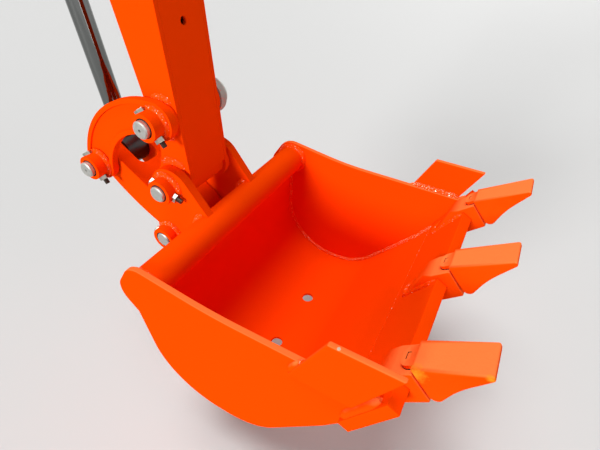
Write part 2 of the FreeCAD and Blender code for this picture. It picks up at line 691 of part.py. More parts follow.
BARREL_PROFILE = [
    # s from the upper pin, r
    ("0", "0"), ("barrel_start", "0"), ("barrel_start", "barrel_bore"), ("barrel_end", "barrel_bore"),
    ("barrel_end", "barrel_radius"), ("(barrel_start - base_plate)", "barrel_radius"),
    ("(barrel_start - base_plate)", "(eye_half - side_gap)"), ("0", "(eye_half - side_gap)"),
]
GLAND_PROFILE = [
    ("barrel_end", "(rod_radius + pin_clearance)"),
    ("(barrel_end + gland_length)", "(rod_radius + pin_clearance)"),
    ("(barrel_end + gland_length)", "gland_radius"), ("barrel_end", "gland_radius"),
]
ROD_PROFILE = [("0", "0"), ("rod_length", "0"), ("rod_length", "rod_radius"), ("0", "rod_radius")]

barrel = revolve("cylinder_barrel", CYLINDER_PIN, ROD_PIN, BARREL_PROFILE)
pocket(barrel, lambda sketch: round_hole(sketch, *CYLINDER_PIN, "eye_radius"))
keep(barrel, "cylinder_barrel")
keep(revolve("cylinder_gland", CYLINDER_PIN, ROD_PIN, GLAND_PROFILE), "cylinder_gland")
rod = revolve("cylinder_rod", ROD_PIN, CYLINDER_PIN, ROD_PROFILE)
pocket(rod, lambda sketch: round_hole(sketch, *ROD_PIN, "eye_radius"))
keep(rod, "cylinder_rod")
tube("barrel_eye", CYLINDER_PIN, "eye_radius", "eye_half", BORE)
tube("rod_eye", ROD_PIN, "eye_radius", "eye_half", BORE)

# Bucket: du runs towards the teeth and dz up, from the torque tube's centre

TUBE = ("(bucket_pivot_y - tube_du)", "(bucket_pivot_z + tube_dz)")
BUCKET_INSIDE = "(2 * (bucket_half_width - bucket_side))"


def spot(du, dz):
    return f"({TUBE[0]} - ({du}))", f"({TUBE[1]} + ({dz}))"


def on_lip(s, n):
    """A point s up the lip's upper face from its rear edge and n out of it, to the bucket's outside."""
    return spot(f"lip_du + ({s}) * cos(lip_slope) + ({n}) * sin(lip_slope)",
                f"lip_dz + ({s}) * sin(lip_slope) - ({n}) * cos(lip_slope)")


torque = new_body("torque_tube")
pad(torque, ring_sketch(TUBE, "tube_radius", "(tube_radius - tube_wall)"), BUCKET_INSIDE, middle=True)
keep(torque, "torque_tube")

TOE_TURN = "(atan2(front_dz - floor_dz; front_du - toe_du) / 1deg)"
FRONT_MEAN = f"((lip_slope + {TOE_TURN}) / 2)"
FRONT_HALF = f"((lip_slope - {TOE_TURN}) / 2)"


def shell_corners(t):
    """The bucket's curved section, drawn out by t: front, toe, heel."""
    return [
        ("corner", *spot(f"front_du + {t} * sin({FRONT_MEAN}) / cos({FRONT_HALF})",
                         f"front_dz - {t} * cos({FRONT_MEAN}) / cos({FRONT_HALF})"), f"(front_radius + {t})"),
        ("corner", *spot(f"toe_du + {t} * tan({TOE_TURN} / 2)", f"floor_dz - {t}"), f"(toe_radius + {t})"),
        ("corner", *spot(f"back_du - {t}", f"floor_dz - {t}"), f"(heel_radius + {t})"),
    ]


def wrapper_sketch(sketch):
    outside = shell_corners("wrapper_plate")
    inside = shell_corners("0")[::-1]
    top = "(0 - tube_radius - seat_gap)"
    outline(sketch, [("corner", *on_lip("0", "(lip_step + wrapper_plate)"), "0")] + outside
            + [("corner", *spot("back_du - wrapper_plate", top), "0"), ("corner", *spot("back_du", top), "0")]
            + inside + [("corner", *on_lip("0", "lip_step"), "0")])


def drain_holes(sketch):
    for side in (-1, 1):
        round_hole(sketch, f"{side} * drain_x", spot("drain_du", "0")[0], "drain_radius")


wrapper = new_body("bucket_wrapper")
pad(wrapper, wrapper_sketch, BUCKET_INSIDE, middle=True)
pocket(wrapper, drain_holes, "(6 * wrapper_plate)", lift=spot("0", "floor_dz")[1], middle=True,
       plane="XY_Plane")
keep(wrapper, "bucket_wrapper")

RIM_END = "((rim_drop - lip_dz) / sin(lip_slope))"


def bucket_side_sketch(sketch):
    outline(sketch, [
        ("round", *TUBE, "side_end_radius"),
        ("corner", *spot("rim_bend_du", "rim_drop"), "rim_radius"),
        ("corner", *on_lip(RIM_END, "0"), "0"),
        ("corner", *on_lip("0", "0"), "0"),
        ("corner", *on_lip("0", "(lip_step + wrapper_plate)"), "0"),
    ] + shell_corners("wrapper_plate")[:2] + [
        ("corner", *spot("side_heel_du", "floor_dz - wrapper_plate"), "side_heel_radius"),
        ("corner", *spot("neck_du", "neck_dz"), "neck_radius"),
        ("round", *spot("side_bulge_du", "side_bulge_dz"), "side_bulge_radius"),
    ])


for side in (-1, 1):
    plate = new_body("bucket_side_" + hand(side), f"{side} * (bucket_half_width - bucket_side)")
    pad(plate, bucket_side_sketch, "bucket_side", side)
    keep(plate, "bucket_side_" + hand(side))

lip = new_body("lip_plate")
pad(lip, lambda sketch: outline(sketch, [("corner", *on_lip(s, n), "0") for s, n in [
    ("lip_length", "0"), ("0", "0"), ("0", "lip_plate"), ("lip_length", "lip_plate")]]),
    "(2 * (bucket_half_width + lip_overhang))", middle=True)
keep(lip, "lip_plate")


def ear_sketch(sketch):
    outline(sketch, [
        ("round", f"({PIVOT[0]} + ear_tip_dy)", f"({PIVOT[1]} + ear_tip_dz)", "ear_tip_radius"),
        ("round", *TUBE, "ear_top_radius"),
        ("corner", *spot("back_du - wrapper_plate", "ear_heel_dz"), "0"),
        ("round", *EAR_PIN, "ear_pin_end_radius"),
    ])


def wrapper_side(sketch):
    """Everything inside the outer face of the bucket's back."""
    outline(sketch, [("corner", *spot(du, dz), "0") for du, dz in [
        ("back_du - wrapper_plate", "0"), ("front_du", "0"), ("front_du", "floor_dz"),
        ("back_du - wrapper_plate", "floor_dz")]])


for side in (-1, 1):
    ear = new_body("ear_" + hand(side), f"{side} * {EAR_FACE}")
    pad(ear, ear_sketch, "ear_plate", side)
    pocket(ear, lambda sketch: round_hole(sketch, *TUBE, "tube_radius"))
    pocket(ear, wrapper_side)
    bosses(ear, (PIVOT, EAR_PIN), side)
    keep(ear, "ear_" + hand(side))

def cutter_sketch(rise):
    """A side cutter's outline, a leaning parallelogram, raised by a height."""
    rear, top = "(lip_du - cutter_behind)", f"(lip_dz + cutter_above + {rise})"
    front, foot = f"({rear} + cutter_length)", f"({top} - cutter_height)"
    return lambda sketch: outline(sketch, [("corner", *spot(du, dz), "0") for du, dz in [
        (rear, top), (front, top), (f"{front} - cutter_slant", foot), (f"{rear} - cutter_slant", foot)]])


for side, rise in ((-1, "cutter_left_rise"), (1, "0")):
    cutter = new_body("side_cutter_" + hand(side), f"{side} * bucket_half_width")
    pad(cutter, cutter_sketch(rise), "cutter_plate", side)
    keep(cutter, "side_cutter_" + hand(side))


TOOTH_TOP = ("(lip_du + lip_length * cos(lip_slope) + tooth_ahead)",
             "(lip_dz + lip_length * sin(lip_slope) + tooth_above)")


def tooth_point(along, up):
    """A point along the tooth from the middle of its back face and up across it."""
    span = "sqrt(tooth_back_run ^ 2 + tooth_back_drop ^ 2)"
    ahead = f"(({along}) * tooth_back_drop - ({up}) * tooth_back_run) / {span}"
    above = f"(({up}) * tooth_back_drop + ({along}) * tooth_back_run) / {span}"
    return spot(f"{TOOTH_TOP[0]} + tooth_back_run / 2 + {ahead}",
                f"{TOOTH_TOP[1]} - tooth_back_drop / 2 + {above}")


TOOTH_PITCH = "(bucket_half_width - bucket_side - tooth_side_gap - tooth_width / 2)"


def straight(corners):
    """A drawing of straight lines, its corners given clockwise."""
    return lambda sketch: outline(sketch, [("corner", y, z, "0") for y, z in corners[::-1]])


# Round the lip's front edge: lower leg, front, and the upper leg, which tapers back to the weld
ADAPTER = [
    on_lip("adapter_tail", "0"), on_lip("lip_length", "0"), on_lip("lip_length", "lip_plate"),
    on_lip("adapter_foot", "lip_plate"), on_lip("adapter_foot", "(lip_plate + adapter_leg)"),
    tooth_point("(0 - tooth_gap)", "(0 - adapter_low_half)"),
    tooth_point("(0 - tooth_gap)", "adapter_top_half"), on_lip("adapter_shoulder", "(0 - adapter_leg)"),
]
NOSE = [
    tooth_point("(0 - tooth_gap)", "(0 - nose_back_half)"), tooth_point("nose_length", "(0 - nose_tip_half)"),
    tooth_point("nose_length", "nose_tip_half"), tooth_point("(0 - tooth_gap)", "nose_back_half"),
]
TONGUE_FOOT = "(adapter_top_half + tongue_gap)"
TONGUE_TOP = f"({TONGUE_FOOT} + tongue_height)"
TONGUE = [
    tooth_point("tongue_root", TONGUE_FOOT), tooth_point("tongue_root", TONGUE_TOP),
    tooth_point("(0 - tongue_length)", TONGUE_TOP), tooth_point("(0 - tongue_length)", TONGUE_FOOT),
]
LOCK = [
    tooth_point(f"(0 - lock_centre {sign} lock_length / 2)", f"({TONGUE_TOP} {lift} lock_depth)")
    for sign, lift in (("+", "-"), ("+", "+"), ("-", "+"), ("-", "-"))
]


def adapter_taper(sketch):
    """In plan, the wedges that are cut from both sides of the upper leg."""
    front, rear = on_lip("adapter_shoulder", "0")[0], on_lip("(adapter_tail - adapter_leg)", "0")[0]
    for side in (-1, 1):
        wedge = [(f"{side} * tooth_width / 2", front), (f"{side} * adapter_tail_width / 2", rear),
                 (f"{side} * tooth_width", rear), (f"{side} * tooth_width", front)]
        outline(sketch, [("corner", x, y, "0") for x, y in (wedge if side < 0 else wedge[::-1])])


def tooth_sketch(sketch):
    def from_top(run, rise):
        return spot(f"{TOOTH_TOP[0]} + {run}", f"{TOOTH_TOP[1]} + {rise}")

    # lower corner of the tip, and the way to it from the lower back corner
    tip_run, tip_rise = "(tooth_run + tooth_tip_edge / 2)", "(tooth_rise - tooth_tip_edge)"
    way_run, way_rise = f"({tip_run} - tooth_back_run)", f"({tip_rise} + tooth_back_drop)"
    span = f"sqrt({way_run} ^ 2 + {way_rise} ^ 2)"
    outline(sketch, [
        ("corner", *from_top("0", "0"), "0"),
        ("corner", *from_top("tooth_back_run", "(0 - tooth_back_drop)"), "tooth_heel_radius"),
        ("corner", *from_top(f"(tooth_back_run + {tip_run}) / 2 - tooth_hollow * {way_rise} / {span}",
                             f"({tip_rise} - tooth_back_drop) / 2 + tooth_hollow * {way_run} / {span}"),
         "tooth_hollow_radius"),
        ("corner", *from_top(tip_run, tip_rise), "tooth_tip_radius"),
        ("corner", *from_top("tooth_run", "tooth_rise"), "tooth_tip_radius"),
    ])


def on_side(edge):
    """A test for the edges of a tooth's two side faces."""
    half = size("tooth_width / 2")
    return all(abs(abs(vertex.X) - half) < NEAR for vertex in edge.Vertexes) and edge.BoundBox.XLength < NEAR


def tongue_end(edge):
    """A test for the two upright edges at the tongue's rear end."""
    middle = edge.CenterOfMass
    low, high = (V(0, *[size(value) for value in point]) for point in TONGUE[:1:-1])
    at_end = (V(0, middle.y, middle.z) - (low + high) / 2).Length < 10 * NEAR
    return at_end and abs(abs(middle.x) - size("tongue_width / 2")) < NEAR


for number, place in enumerate(("left", "middle", "right")):
    adapter = new_body("adapter_" + place, f"{number - 1} * {TOOTH_PITCH}")
    pad(adapter, straight(ADAPTER), "tooth_width", middle=True)
    pocket(adapter, adapter_taper, plane="XY_Plane")
    pad(adapter, straight(NOSE), "nose_width", middle=True)
    keep(adapter, "adapter_" + place)
    tooth = new_body("tooth_" + place, f"{number - 1} * {TOOTH_PITCH}")
    pad(tooth, tooth_sketch, "tooth_width", middle=True)
    dress(tooth, "Fillet", "tooth_edge_radius", on_side)
    pad(tooth, straight(TONGUE), "tongue_width", middle=True)
    dress(tooth, "Fillet", "tongue_corner", tongue_end)
    pocket(tooth, straight(LOCK), "lock_width", middle=True)
    pocket(tooth, straight(NOSE), "nose_width", middle=True)
    keep(tooth, "tooth_" + place)

# Check and write

doc.recompute()
for obj in doc.Objects:
    if "Invalid" in obj.State or "Error" in obj.State:
        raise RuntimeError(obj.Label + " is in error")
os.makedirs("parts", exist_ok=True)
for node in NODES:
    if node.Shape.isNull() or not node.Shape.isValid():
        raise RuntimeError(node.Label + " has no valid shape")
    node.Shape.exportStep("parts/" + node.Label + ".step")
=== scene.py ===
import json
import math

import bmesh
import bpy
from mathutils import Matrix, Vector, noise


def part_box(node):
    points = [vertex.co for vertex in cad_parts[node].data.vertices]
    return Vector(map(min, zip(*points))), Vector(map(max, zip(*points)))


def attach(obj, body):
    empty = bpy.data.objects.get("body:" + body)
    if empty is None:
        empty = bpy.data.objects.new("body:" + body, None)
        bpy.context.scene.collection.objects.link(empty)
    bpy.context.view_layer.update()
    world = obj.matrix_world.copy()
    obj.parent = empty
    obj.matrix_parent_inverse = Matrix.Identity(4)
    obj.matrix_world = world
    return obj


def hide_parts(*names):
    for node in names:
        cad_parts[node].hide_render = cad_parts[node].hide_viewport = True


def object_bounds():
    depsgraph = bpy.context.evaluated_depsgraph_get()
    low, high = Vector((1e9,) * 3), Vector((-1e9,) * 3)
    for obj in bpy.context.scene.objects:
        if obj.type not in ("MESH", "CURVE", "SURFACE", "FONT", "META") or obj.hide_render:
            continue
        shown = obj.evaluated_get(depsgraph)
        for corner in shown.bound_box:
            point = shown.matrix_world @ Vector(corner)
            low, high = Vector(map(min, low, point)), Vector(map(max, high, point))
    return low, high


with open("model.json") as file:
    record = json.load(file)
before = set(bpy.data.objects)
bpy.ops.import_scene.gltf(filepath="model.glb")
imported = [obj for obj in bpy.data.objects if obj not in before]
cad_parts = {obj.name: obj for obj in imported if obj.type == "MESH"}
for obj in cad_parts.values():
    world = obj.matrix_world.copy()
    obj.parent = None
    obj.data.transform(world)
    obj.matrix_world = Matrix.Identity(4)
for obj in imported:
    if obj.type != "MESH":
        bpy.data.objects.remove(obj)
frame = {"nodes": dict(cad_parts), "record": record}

bl_info = {
    "name": "Dipper arm and bucket looks",
    "version": (1, 1, 0),
    "blender": (4, 5, 0),
    "location": "View3D > Sidebar > Dipper",
    "description": "Paint, pins, welds, bolts and stage for a small excavator's dipper arm and bucket",
    "category": "Object",
}

CAD_BOX = [list(corner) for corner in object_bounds()]
BODIES = frame["record"]["behaviour"]["bodies"]
BODY_OF = {node: body for body, nodes in BODIES.items() for node in nodes}
SLOT_OF = {row["node"]: row["material_slot"] for row in frame["record"]["subparts"]}
# Distances under which two corners are one, and under which a corner lies in a plane
MERGE = 0.00001
NEAR = 0.0001


def middle(node):
    """The centre of a node's box."""
    low, high = (Vector(corner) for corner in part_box(node))
    return (low + high) / 2


def axis_point(node):
    """Where the axis of a node that lies along X stands, as (Y, Z)."""
    centre = middle(node)
    return centre.y, centre.z


def reach(node, axis, side):
    """How far a node's box goes along an axis (0 to 2) on a side (-1 or 1)."""
    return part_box(node)[side > 0][axis]


ROCKER_PIVOT = axis_point("rocker_pivot_tube")
BUCKET_PIVOT = axis_point("bucket_pivot_tube")
BOOM_PIVOT = axis_point("boom_pivot_tube")
TAIL_PIN = axis_point("tail_pin_tube")
ROD_PIN = axis_point("rod_eye")
LINK_PIN = axis_point("link_pin")
TORQUE_TUBE = axis_point("torque_tube")
PIN_RADIUS = 0.0125
BOSS_RADIUS = 0.020
BOSS_FACE = reach("rocker_left", 0, -1)
HEAD_SEAT = reach("rocker_right", 0, 1)
ARM_FACE = reach("arm_side_right", 0, 1)
INSIDE = reach("bucket_wrapper", 0, 1)
OUTSIDE = reach("bucket_side_right", 0, 1)
# Faces of the right rocker plate and ear, on X
ROCKER_FACE = 0.0605
EAR_OUTER = 0.0625
EAR_INNER = 0.0485
TUBE_RADIUS = (reach("torque_tube", 1, 1) - reach("torque_tube", 1, -1)) / 2
# A place in the middle of the bucket's hollow, from which its whole section can be seen
HOLLOW = Vector((0, TORQUE_TUBE[0] - 0.13, TORQUE_TUBE[1] - 0.08))
# How far a side cutter leans over its height
CUTTER_LEAN = 0.042
LIP_LENGTH = 0.093
LIP_THICKNESS = 0.016
# From the lip's front edge to the upper edge of a tooth's back face, and from there to its lower edge, as (Y, Z)
TOOTH_TOP = Vector((0, -0.0077, 0.0223))
TOOTH_BACK = Vector((0, -0.0335, -0.0375))
SIDES = ((-1, "left"), (1, "right"))
TEETH = {place: middle("tooth_" + place).x for place in ("left", "middle", "right")}


# Sizes and colours that a user would change

class DipperSizes(bpy.types.PropertyGroup):
    """Sizes of the small things on the arm and bucket"""
    edge: bpy.props.FloatProperty(
        name="Edge rounding", description="Rounding of the painted plates' edges", default=0.0010, unit="LENGTH")
    bead: bpy.props.FloatProperty(
        name="Weld bead", description="Radius of a weld bead", default=0.0032, unit="LENGTH")
    lumps: bpy.props.FloatProperty(
        name="Weld lumps", description="How uneven the welds are, as a share of their size", default=0.16,
        subtype="FACTOR")
    pin_edge: bpy.props.FloatProperty(
        name="Pin edge", description="Chamfer at the pins' ends", default=0.0016, unit="LENGTH")
    bolt: bpy.props.FloatProperty(
        name="Cross bolt", description="Radius of the bolts through the bosses", default=0.004, unit="LENGTH")
    bolt_head: bpy.props.FloatProperty(
        name="Bolt head", description="Radius over the corners of bolt head and nut", default=0.0075, unit="LENGTH")


class DipperColours(bpy.types.PropertyGroup):
    """Colours of the paint and the bright parts"""
    orange: bpy.props.FloatVectorProperty(
        name="Orange", description="Colour of the paint", default=(0.93, 0.058, 0.0004), subtype="COLOR")
    orange_pale: bpy.props.FloatVectorProperty(
        name="Pale orange", description="Paint where it lies thin on castings and welds",
        default=(0.95, 0.070, 0.002), subtype="COLOR")
    # Painted highlight: castings and rims are made paler towards this colour where they look up, as light from above
    # would make them
    orange_highlight: bpy.props.FloatVectorProperty(
        name="Highlight orange", description="Paint on castings and rims where they look up",
        default=(0.95, 0.175, 0.040), subtype="COLOR")
    worn: bpy.props.FloatVectorProperty(
        name="Worn paint", description="Thin yellowish paint on the corners of a tooth",
        default=(0.66, 0.23, 0.012), subtype="COLOR")
    # Painted highlight: bright specks mixed into the welds' colour stand in for glints of light on them
    glint: bpy.props.FloatVectorProperty(
        name="Glints", description="Bright crumbs on the welds", default=(1.0, 0.62, 0.42), subtype="COLOR")
    chip: bpy.props.FloatVectorProperty(
        name="Chip", description="Undercoat where paint is knocked off", default=(0.50, 0.38, 0.28),
        subtype="COLOR")
    bare: bpy.props.FloatVectorProperty(
        name="Bare plate", description="Plate that is left without paint", default=(0.42, 0.43, 0.40),
        subtype="COLOR")
    thread: bpy.props.FloatVectorProperty(
        name="Thread", description="Dark steel of the bolts' threads", default=(0.13, 0.11, 0.09),
        subtype="COLOR")
    steel: bpy.props.FloatVectorProperty(
        name="Steel", description="Colour of the pins", default=(0.50, 0.50, 0.47), subtype="COLOR")
    zinc: bpy.props.FloatVectorProperty(
        name="Zinc", description="Colour of the cross bolts", default=(0.42, 0.40, 0.35), subtype="COLOR")
    chrome: bpy.props.FloatVectorProperty(
        name="Chrome", description="Colour of the piston rod", default=(0.17, 0.175, 0.17), subtype="COLOR")
    # Also the colour of the thin dark lines at the teeth, which are painted shade in the gaps, and of the seal rings
    # round the pins
    rubber: bpy.props.FloatVectorProperty(
        name="Rubber", description="Colour of seals and dark joints", default=(0.008, 0.008, 0.008),
        subtype="COLOR")
    rubber_dusty: bpy.props.FloatVectorProperty(
        name="Dusty rubber", description="Rubber with a little dust on it", default=(0.016, 0.014, 0.012),
        subtype="COLOR")
    black: bpy.props.FloatVectorProperty(
        name="Black", description="Colour of the cylinder's paint", default=(0.012, 0.012, 0.013), subtype="COLOR")


def sizes():
    return bpy.context.scene.dipper_sizes


def colours():
    return bpy.context.scene.dipper_colours


# Node groups and materials

def group_tree(name, inputs, outputs):
    """A new shader node group with named sockets and its two end nodes."""
    tree = bpy.data.node_groups.new(name, "ShaderNodeTree")
    for label, kind, value in inputs:
        socket = tree.interface.new_socket(name=label, in_out="INPUT", socket_type=kind)
        socket.default_value = value
    for label, kind in outputs:
        tree.interface.new_socket(name=label, in_out="OUTPUT", socket_type=kind)
    return tree, tree.nodes.new("NodeGroupInput"), tree.nodes.new("NodeGroupOutput")


def add_node(tree, kind, settings=None, **links):
    """A node with its settings; a link's key is the input's name with _ for a space."""
    node = tree.nodes.new(kind)
    for key, value in (settings or {}).items():
        setattr(node, key, value)
    for key, value in links.items():
        socket = node.inputs[key.replace("_", " ")]
        if isinstance(value, bpy.types.NodeSocket):
            tree.links.new(value, socket)
        else:
            socket.default_value = value
    return node


def maths(tree, operation, first, second):
    """One sum of two values or sockets."""
    node = add_node(tree, "ShaderNodeMath", {"operation": operation})
    for socket, value in zip(node.inputs, (first, second)):
        if isinstance(value, bpy.types.NodeSocket):
            tree.links.new(value, socket)
        else:
            socket.default_value = value
    return node.outputs["Value"]


def mixed(tree, factor, first, second):
    """A mix of two colours."""
    node = tree.nodes.new("ShaderNodeMix")
    node.data_type = "RGBA"
    for socket, value in ((node.inputs[0], factor), (node.inputs[6], first), (node.inputs[7], second)):
        if isinstance(value, bpy.types.NodeSocket):
            tree.links.new(value, socket)
        else:
            socket.default_value = value
    return node.outputs[2]


def skin_group():
    """Sprayed paint: soft patches of tone, orange peel, dull spots of dust, lumps on castings, and a painted
    highlight that makes the colour paler where the surface looks up.
    """
    found = bpy.data.node_groups.get("sprayed_skin")
    if found:
        return found
    tree, start, end = group_tree("sprayed_skin", [
        ("Colour", "NodeSocketColor", (0.9, 0.1, 0.0, 1)), ("Thin", "NodeSocketColor", (0.9, 0.15, 0.0, 1)),
        ("Top", "NodeSocketColor", (0.9, 0.2, 0.1, 1)), ("Painted highlight", "NodeSocketFloat", 0.0),
        ("Peel", "NodeSocketFloat", 0.3), ("Lumps", "NodeSocketFloat", 0.0), ("Gloss", "NodeSocketFloat", 0.25)],
        [("Colour", "NodeSocketColor"), ("Roughness", "NodeSocketFloat"), ("Height", "NodeSocketFloat")])
    place = add_node(tree, "ShaderNodeTexCoord")
    spot = place.outputs["Object"]
    # The share of the surface that looks up, for the painted highlight of light from above
    upward = add_node(tree, "ShaderNodeSeparateXYZ", Vector=place.outputs["Normal"])
    upper = add_node(tree, "ShaderNodeMapRange", Value=upward.outputs["Z"], From_Min=0.35, From_Max=0.8)
    patches = add_node(tree, "ShaderNodeTexNoise", Vector=spot, Scale=9.0, Detail=4.0)
    spread = add_node(tree, "ShaderNodeMapRange", Value=patches.outputs["Fac"], From_Min=0.38, From_Max=0.75)
    dust = add_node(tree, "ShaderNodeTexNoise", Vector=spot, Scale=60.0, Detail=6.0)
    dull = add_node(tree, "ShaderNodeMapRange", Value=dust.outputs["Fac"], From_Min=0.5, From_Max=0.8, To_Max=0.12)
    peel = add_node(tree, "ShaderNodeTexNoise", Vector=spot, Scale=420.0, Detail=2.0)
    lumps = add_node(tree, "ShaderNodeTexNoise", Vector=spot, Scale=130.0, Detail=3.0)
    fine = maths(tree, "MULTIPLY", peel.outputs["Fac"], start.outputs["Peel"])
    coarse = maths(tree, "MULTIPLY", lumps.outputs["Fac"], start.outputs["Lumps"])
    colour = mixed(tree, spread.outputs["Result"], start.outputs["Colour"], start.outputs["Thin"])
    # Painted highlight: the colour turns paler towards the top colour where the surface looks up
    highlight_share = maths(tree, "MULTIPLY", upper.outputs["Result"], start.outputs["Painted highlight"])
    colour = mixed(tree, highlight_share, colour, start.outputs["Top"])
    tree.links.new(colour, end.inputs["Colour"])
    tree.links.new(maths(tree, "ADD", start.outputs["Gloss"], dull.outputs["Result"]), end.inputs["Roughness"])
    tree.links.new(maths(tree, "ADD", fine, coarse), end.inputs["Height"])
    return tree


def spot_group():
    """A ragged spot round a point, for chips and worn corners."""
    found = bpy.data.node_groups.get("ragged_spot")
    if found:
        return found
    tree, start, end = group_tree("ragged_spot", [
        ("Centre", "NodeSocketVector", (0, 0, 0)), ("Radius", "NodeSocketFloat", 0.01),
        ("Softness", "NodeSocketFloat", 0.5)], [("Mask", "NodeSocketFloat")])
    place = add_node(tree, "ShaderNodeTexCoord").outputs["Object"]
    away = tree.nodes.new("ShaderNodeVectorMath")
    away.operation = "DISTANCE"
    tree.links.new(place, away.inputs[0])
    tree.links.new(start.outputs["Centre"], away.inputs[1])
    ragged = add_node(tree, "ShaderNodeTexNoise", Vector=place, Scale=330.0, Detail=3.0)
    part = maths(tree, "DIVIDE", away.outputs["Value"], start.outputs["Radius"])
    rough = maths(tree, "ADD", part, maths(tree, "SUBTRACT", ragged.outputs["Fac"], 0.5))
    inner = maths(tree, "SUBTRACT", 1.0, start.outputs["Softness"])
    mask = add_node(tree, "ShaderNodeMapRange", Value=rough, From_Min=inner, From_Max=1.0, To_Min=1.0, To_Max=0.0)
    tree.links.new(mask.outputs["Result"], end.inputs["Mask"])
    return tree


def new_material(name):
    material = bpy.data.materials.new(name)
    material.use_nodes = True
    tree = material.node_tree
    return material, tree, tree.nodes["Principled BSDF"]


def paint(name, colour, thin, peel, lumps, gloss, depth, painted_highlight=0.0, shine=(0.0, 0.0), spots=(), specks=0.0,
          glint_level=0.68):
    """A sprayed finish over its colour, with the colour thin where it lies thin. peel and lumps are the shares of
    its fine and coarse relief, and depth is the relief's height. bleach is how far it is made paler where it looks
    up, a painted highlight of light from above, and shine its specular level and coat. spots are worn places as
    (centre, radius, softness, colour). specks is the scale of a coat that only lies in specks and of painted
    glints, bright specks in the colour, and glint_level the noise above which such a painted glint is bright."""
    found = bpy.data.materials.get(name)
    if found:
        return found
    material, tree, shader = new_material(name)
    skin = tree.nodes.new("ShaderNodeGroup")
    skin.node_tree = skin_group()
    for label, value in (("Colour", (*colour, 1)), ("Thin", (*thin, 1)), ("Top", (*colours().orange_highlight, 1)),
                         ("Painted highlight", painted_highlight), ("Peel", peel), ("Lumps", lumps), ("Gloss", gloss)):
        skin.inputs[label].default_value = value
    shade = skin.outputs["Colour"]
    for centre, radius, softness, worn in spots:
        mark = tree.nodes.new("ShaderNodeGroup")
        mark.node_tree = spot_group()
        mark.inputs["Centre"].default_value = centre
        mark.inputs["Radius"].default_value = radius
        mark.inputs["Softness"].default_value = softness
        shade = mixed(tree, mark.outputs["Mask"], shade, (*worn, 1))
    relief = add_node(tree, "ShaderNodeBump", Height=skin.outputs["Height"], Distance=depth, Strength=0.6)
    tree.links.new(relief.outputs["Normal"], shader.inputs["Normal"])
    tree.links.new(skin.outputs["Roughness"], shader.inputs["Roughness"])
    shader.inputs["Specular IOR Level"].default_value = shine[0]
    shader.inputs["Coat Weight"].default_value = shine[1]
    shader.inputs["Coat Roughness"].default_value = 0.1
    if specks:
        place = add_node(tree, "ShaderNodeTexCoord")
        drops = add_node(tree, "ShaderNodeTexNoise", Vector=place.outputs["Object"], Scale=specks, Detail=2.0)
        shown = add_node(tree, "ShaderNodeMapRange", Value=drops.outputs["Fac"], From_Min=0.57, From_Max=0.66)
        tree.links.new(shown.outputs["Result"], shader.inputs["Coat Weight"])
        # Painted glints: where a finer noise is high, the colour turns bright, standing in for highlights of light
        # on the weld; the mask named bare marks these specks
        glints = add_node(tree, "ShaderNodeTexNoise", Vector=place.outputs["Object"], Scale=specks * 2.0, Detail=1.0)
        bare = add_node(tree, "ShaderNodeMapRange", Value=glints.outputs["Fac"], From_Min=glint_level,
                        From_Max=glint_level + 0.06)
        shade = mixed(tree, bare.outputs["Result"], shade, (*colours().glint, 1))
    tree.links.new(shade, shader.inputs["Base Color"])
    return material


# Relief and gloss of the paint on plates, castings and welds; castings are also made paler where they look up, a
# painted highlight, and welds get painted glints
SPRAYED = {"peel": 0.3, "lumps": 0.15, "gloss": 0.3, "depth": 0.0004}
CAST = {"peel": 0.5, "lumps": 0.9, "gloss": 0.36, "depth": 0.0009, "painted_highlight": 1.0}
# Welds and seams carry painted glints: bright specks in their colour that stand in for highlights
WELDED = {"peel": 0.35, "lumps": 1.0, "gloss": 0.3, "depth": 0.0016, "shine": (0.03, 0.0), "specks": 260.0}
SEAM = {"peel": 1.0, "lumps": 1.0, "gloss": 0.3, "depth": 0.0030, "shine": (0.03, 0.0), "specks": 330.0,
        "glint_level": 0.60}
# How much the rims are made paler where they look up, as a painted highlight
RIM_HIGHLIGHT = 0.7


def plate_paint():
    return paint("orange_plate", colours().orange, colours().orange, **SPRAYED)


# Rims: paint made paler where it looks up, as a painted highlight
def rim_paint():
    return paint("orange_rim", colours().orange, colours().orange, painted_highlight=RIM_HIGHLIGHT, **SPRAYED)


# Castings: paint made paler where it looks up, as a painted highlight
def cast_paint():
    return paint("orange_casting", colours().orange, colours().orange_pale, **CAST)


def weld_paint():
    return paint("orange_weld", colours().orange, colours().orange_pale, **WELDED)


def seam_paint():
    return paint("orange_seam", colours().orange, colours().orange_pale, **SEAM)


def chipped_paint():
    """Paint of the left side cutter, knocked off at one spot of its upper edge."""
    low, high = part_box("side_cutter_left")
    chip = (low[0] + 0.0025, high[1] - 0.0530, high[2])
    radius, softness = 0.0022, 0.5
    # Made paler where it looks up, as a painted highlight like the rims
    return paint("orange_chipped", colours().orange, colours().orange, painted_highlight=RIM_HIGHLIGHT,
                 spots=[(chip, radius, softness, colours().chip)], **SPRAYED)


def bare_end_paint():
    """Paint of the right rocker plate, whose end on the arm is left bare."""
    end = (ROCKER_FACE - 0.006, *ROCKER_PIVOT)
    radius, softness = 0.0350, 0.05
    return paint("orange_bare_end", colours().orange, colours().orange,
                 spots=[(end, radius, softness, colours().bare)], **SPRAYED)


def worn_paint():
    """Paint of the left tooth, thin at its upper rear corner and at the corner of its tip."""
    low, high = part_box("tooth_left")
    heel = (low[0], low[1] + 0.0600, high[2] - 0.0430)
    tip = (low[0], low[1] + 0.0040, high[2] - 0.0030)
    spots = [
        # centre, radius, softness, colour
        (heel, 0.012, 0.9, colours().worn),
        (tip, 0.005, 0.8, colours().worn),
    ]
    return paint("orange_worn", colours().orange, colours().orange_pale, spots=spots, **CAST)


def black_paint():
    return paint("black_cylinder", colours().black, colours().black, peel=0.4, lumps=0.1, gloss=0.3, depth=0.0004,
                 shine=(0.5, 0.2))


# Dark rubber of the seal rings, also used for the thin dark lines at the teeth that are painted shade
def rubber_and_shade():
    return paint("rubber_and_shade", colours().rubber, colours().rubber_dusty, peel=0.6, lumps=0.3, gloss=0.5,
                 depth=0.0003)


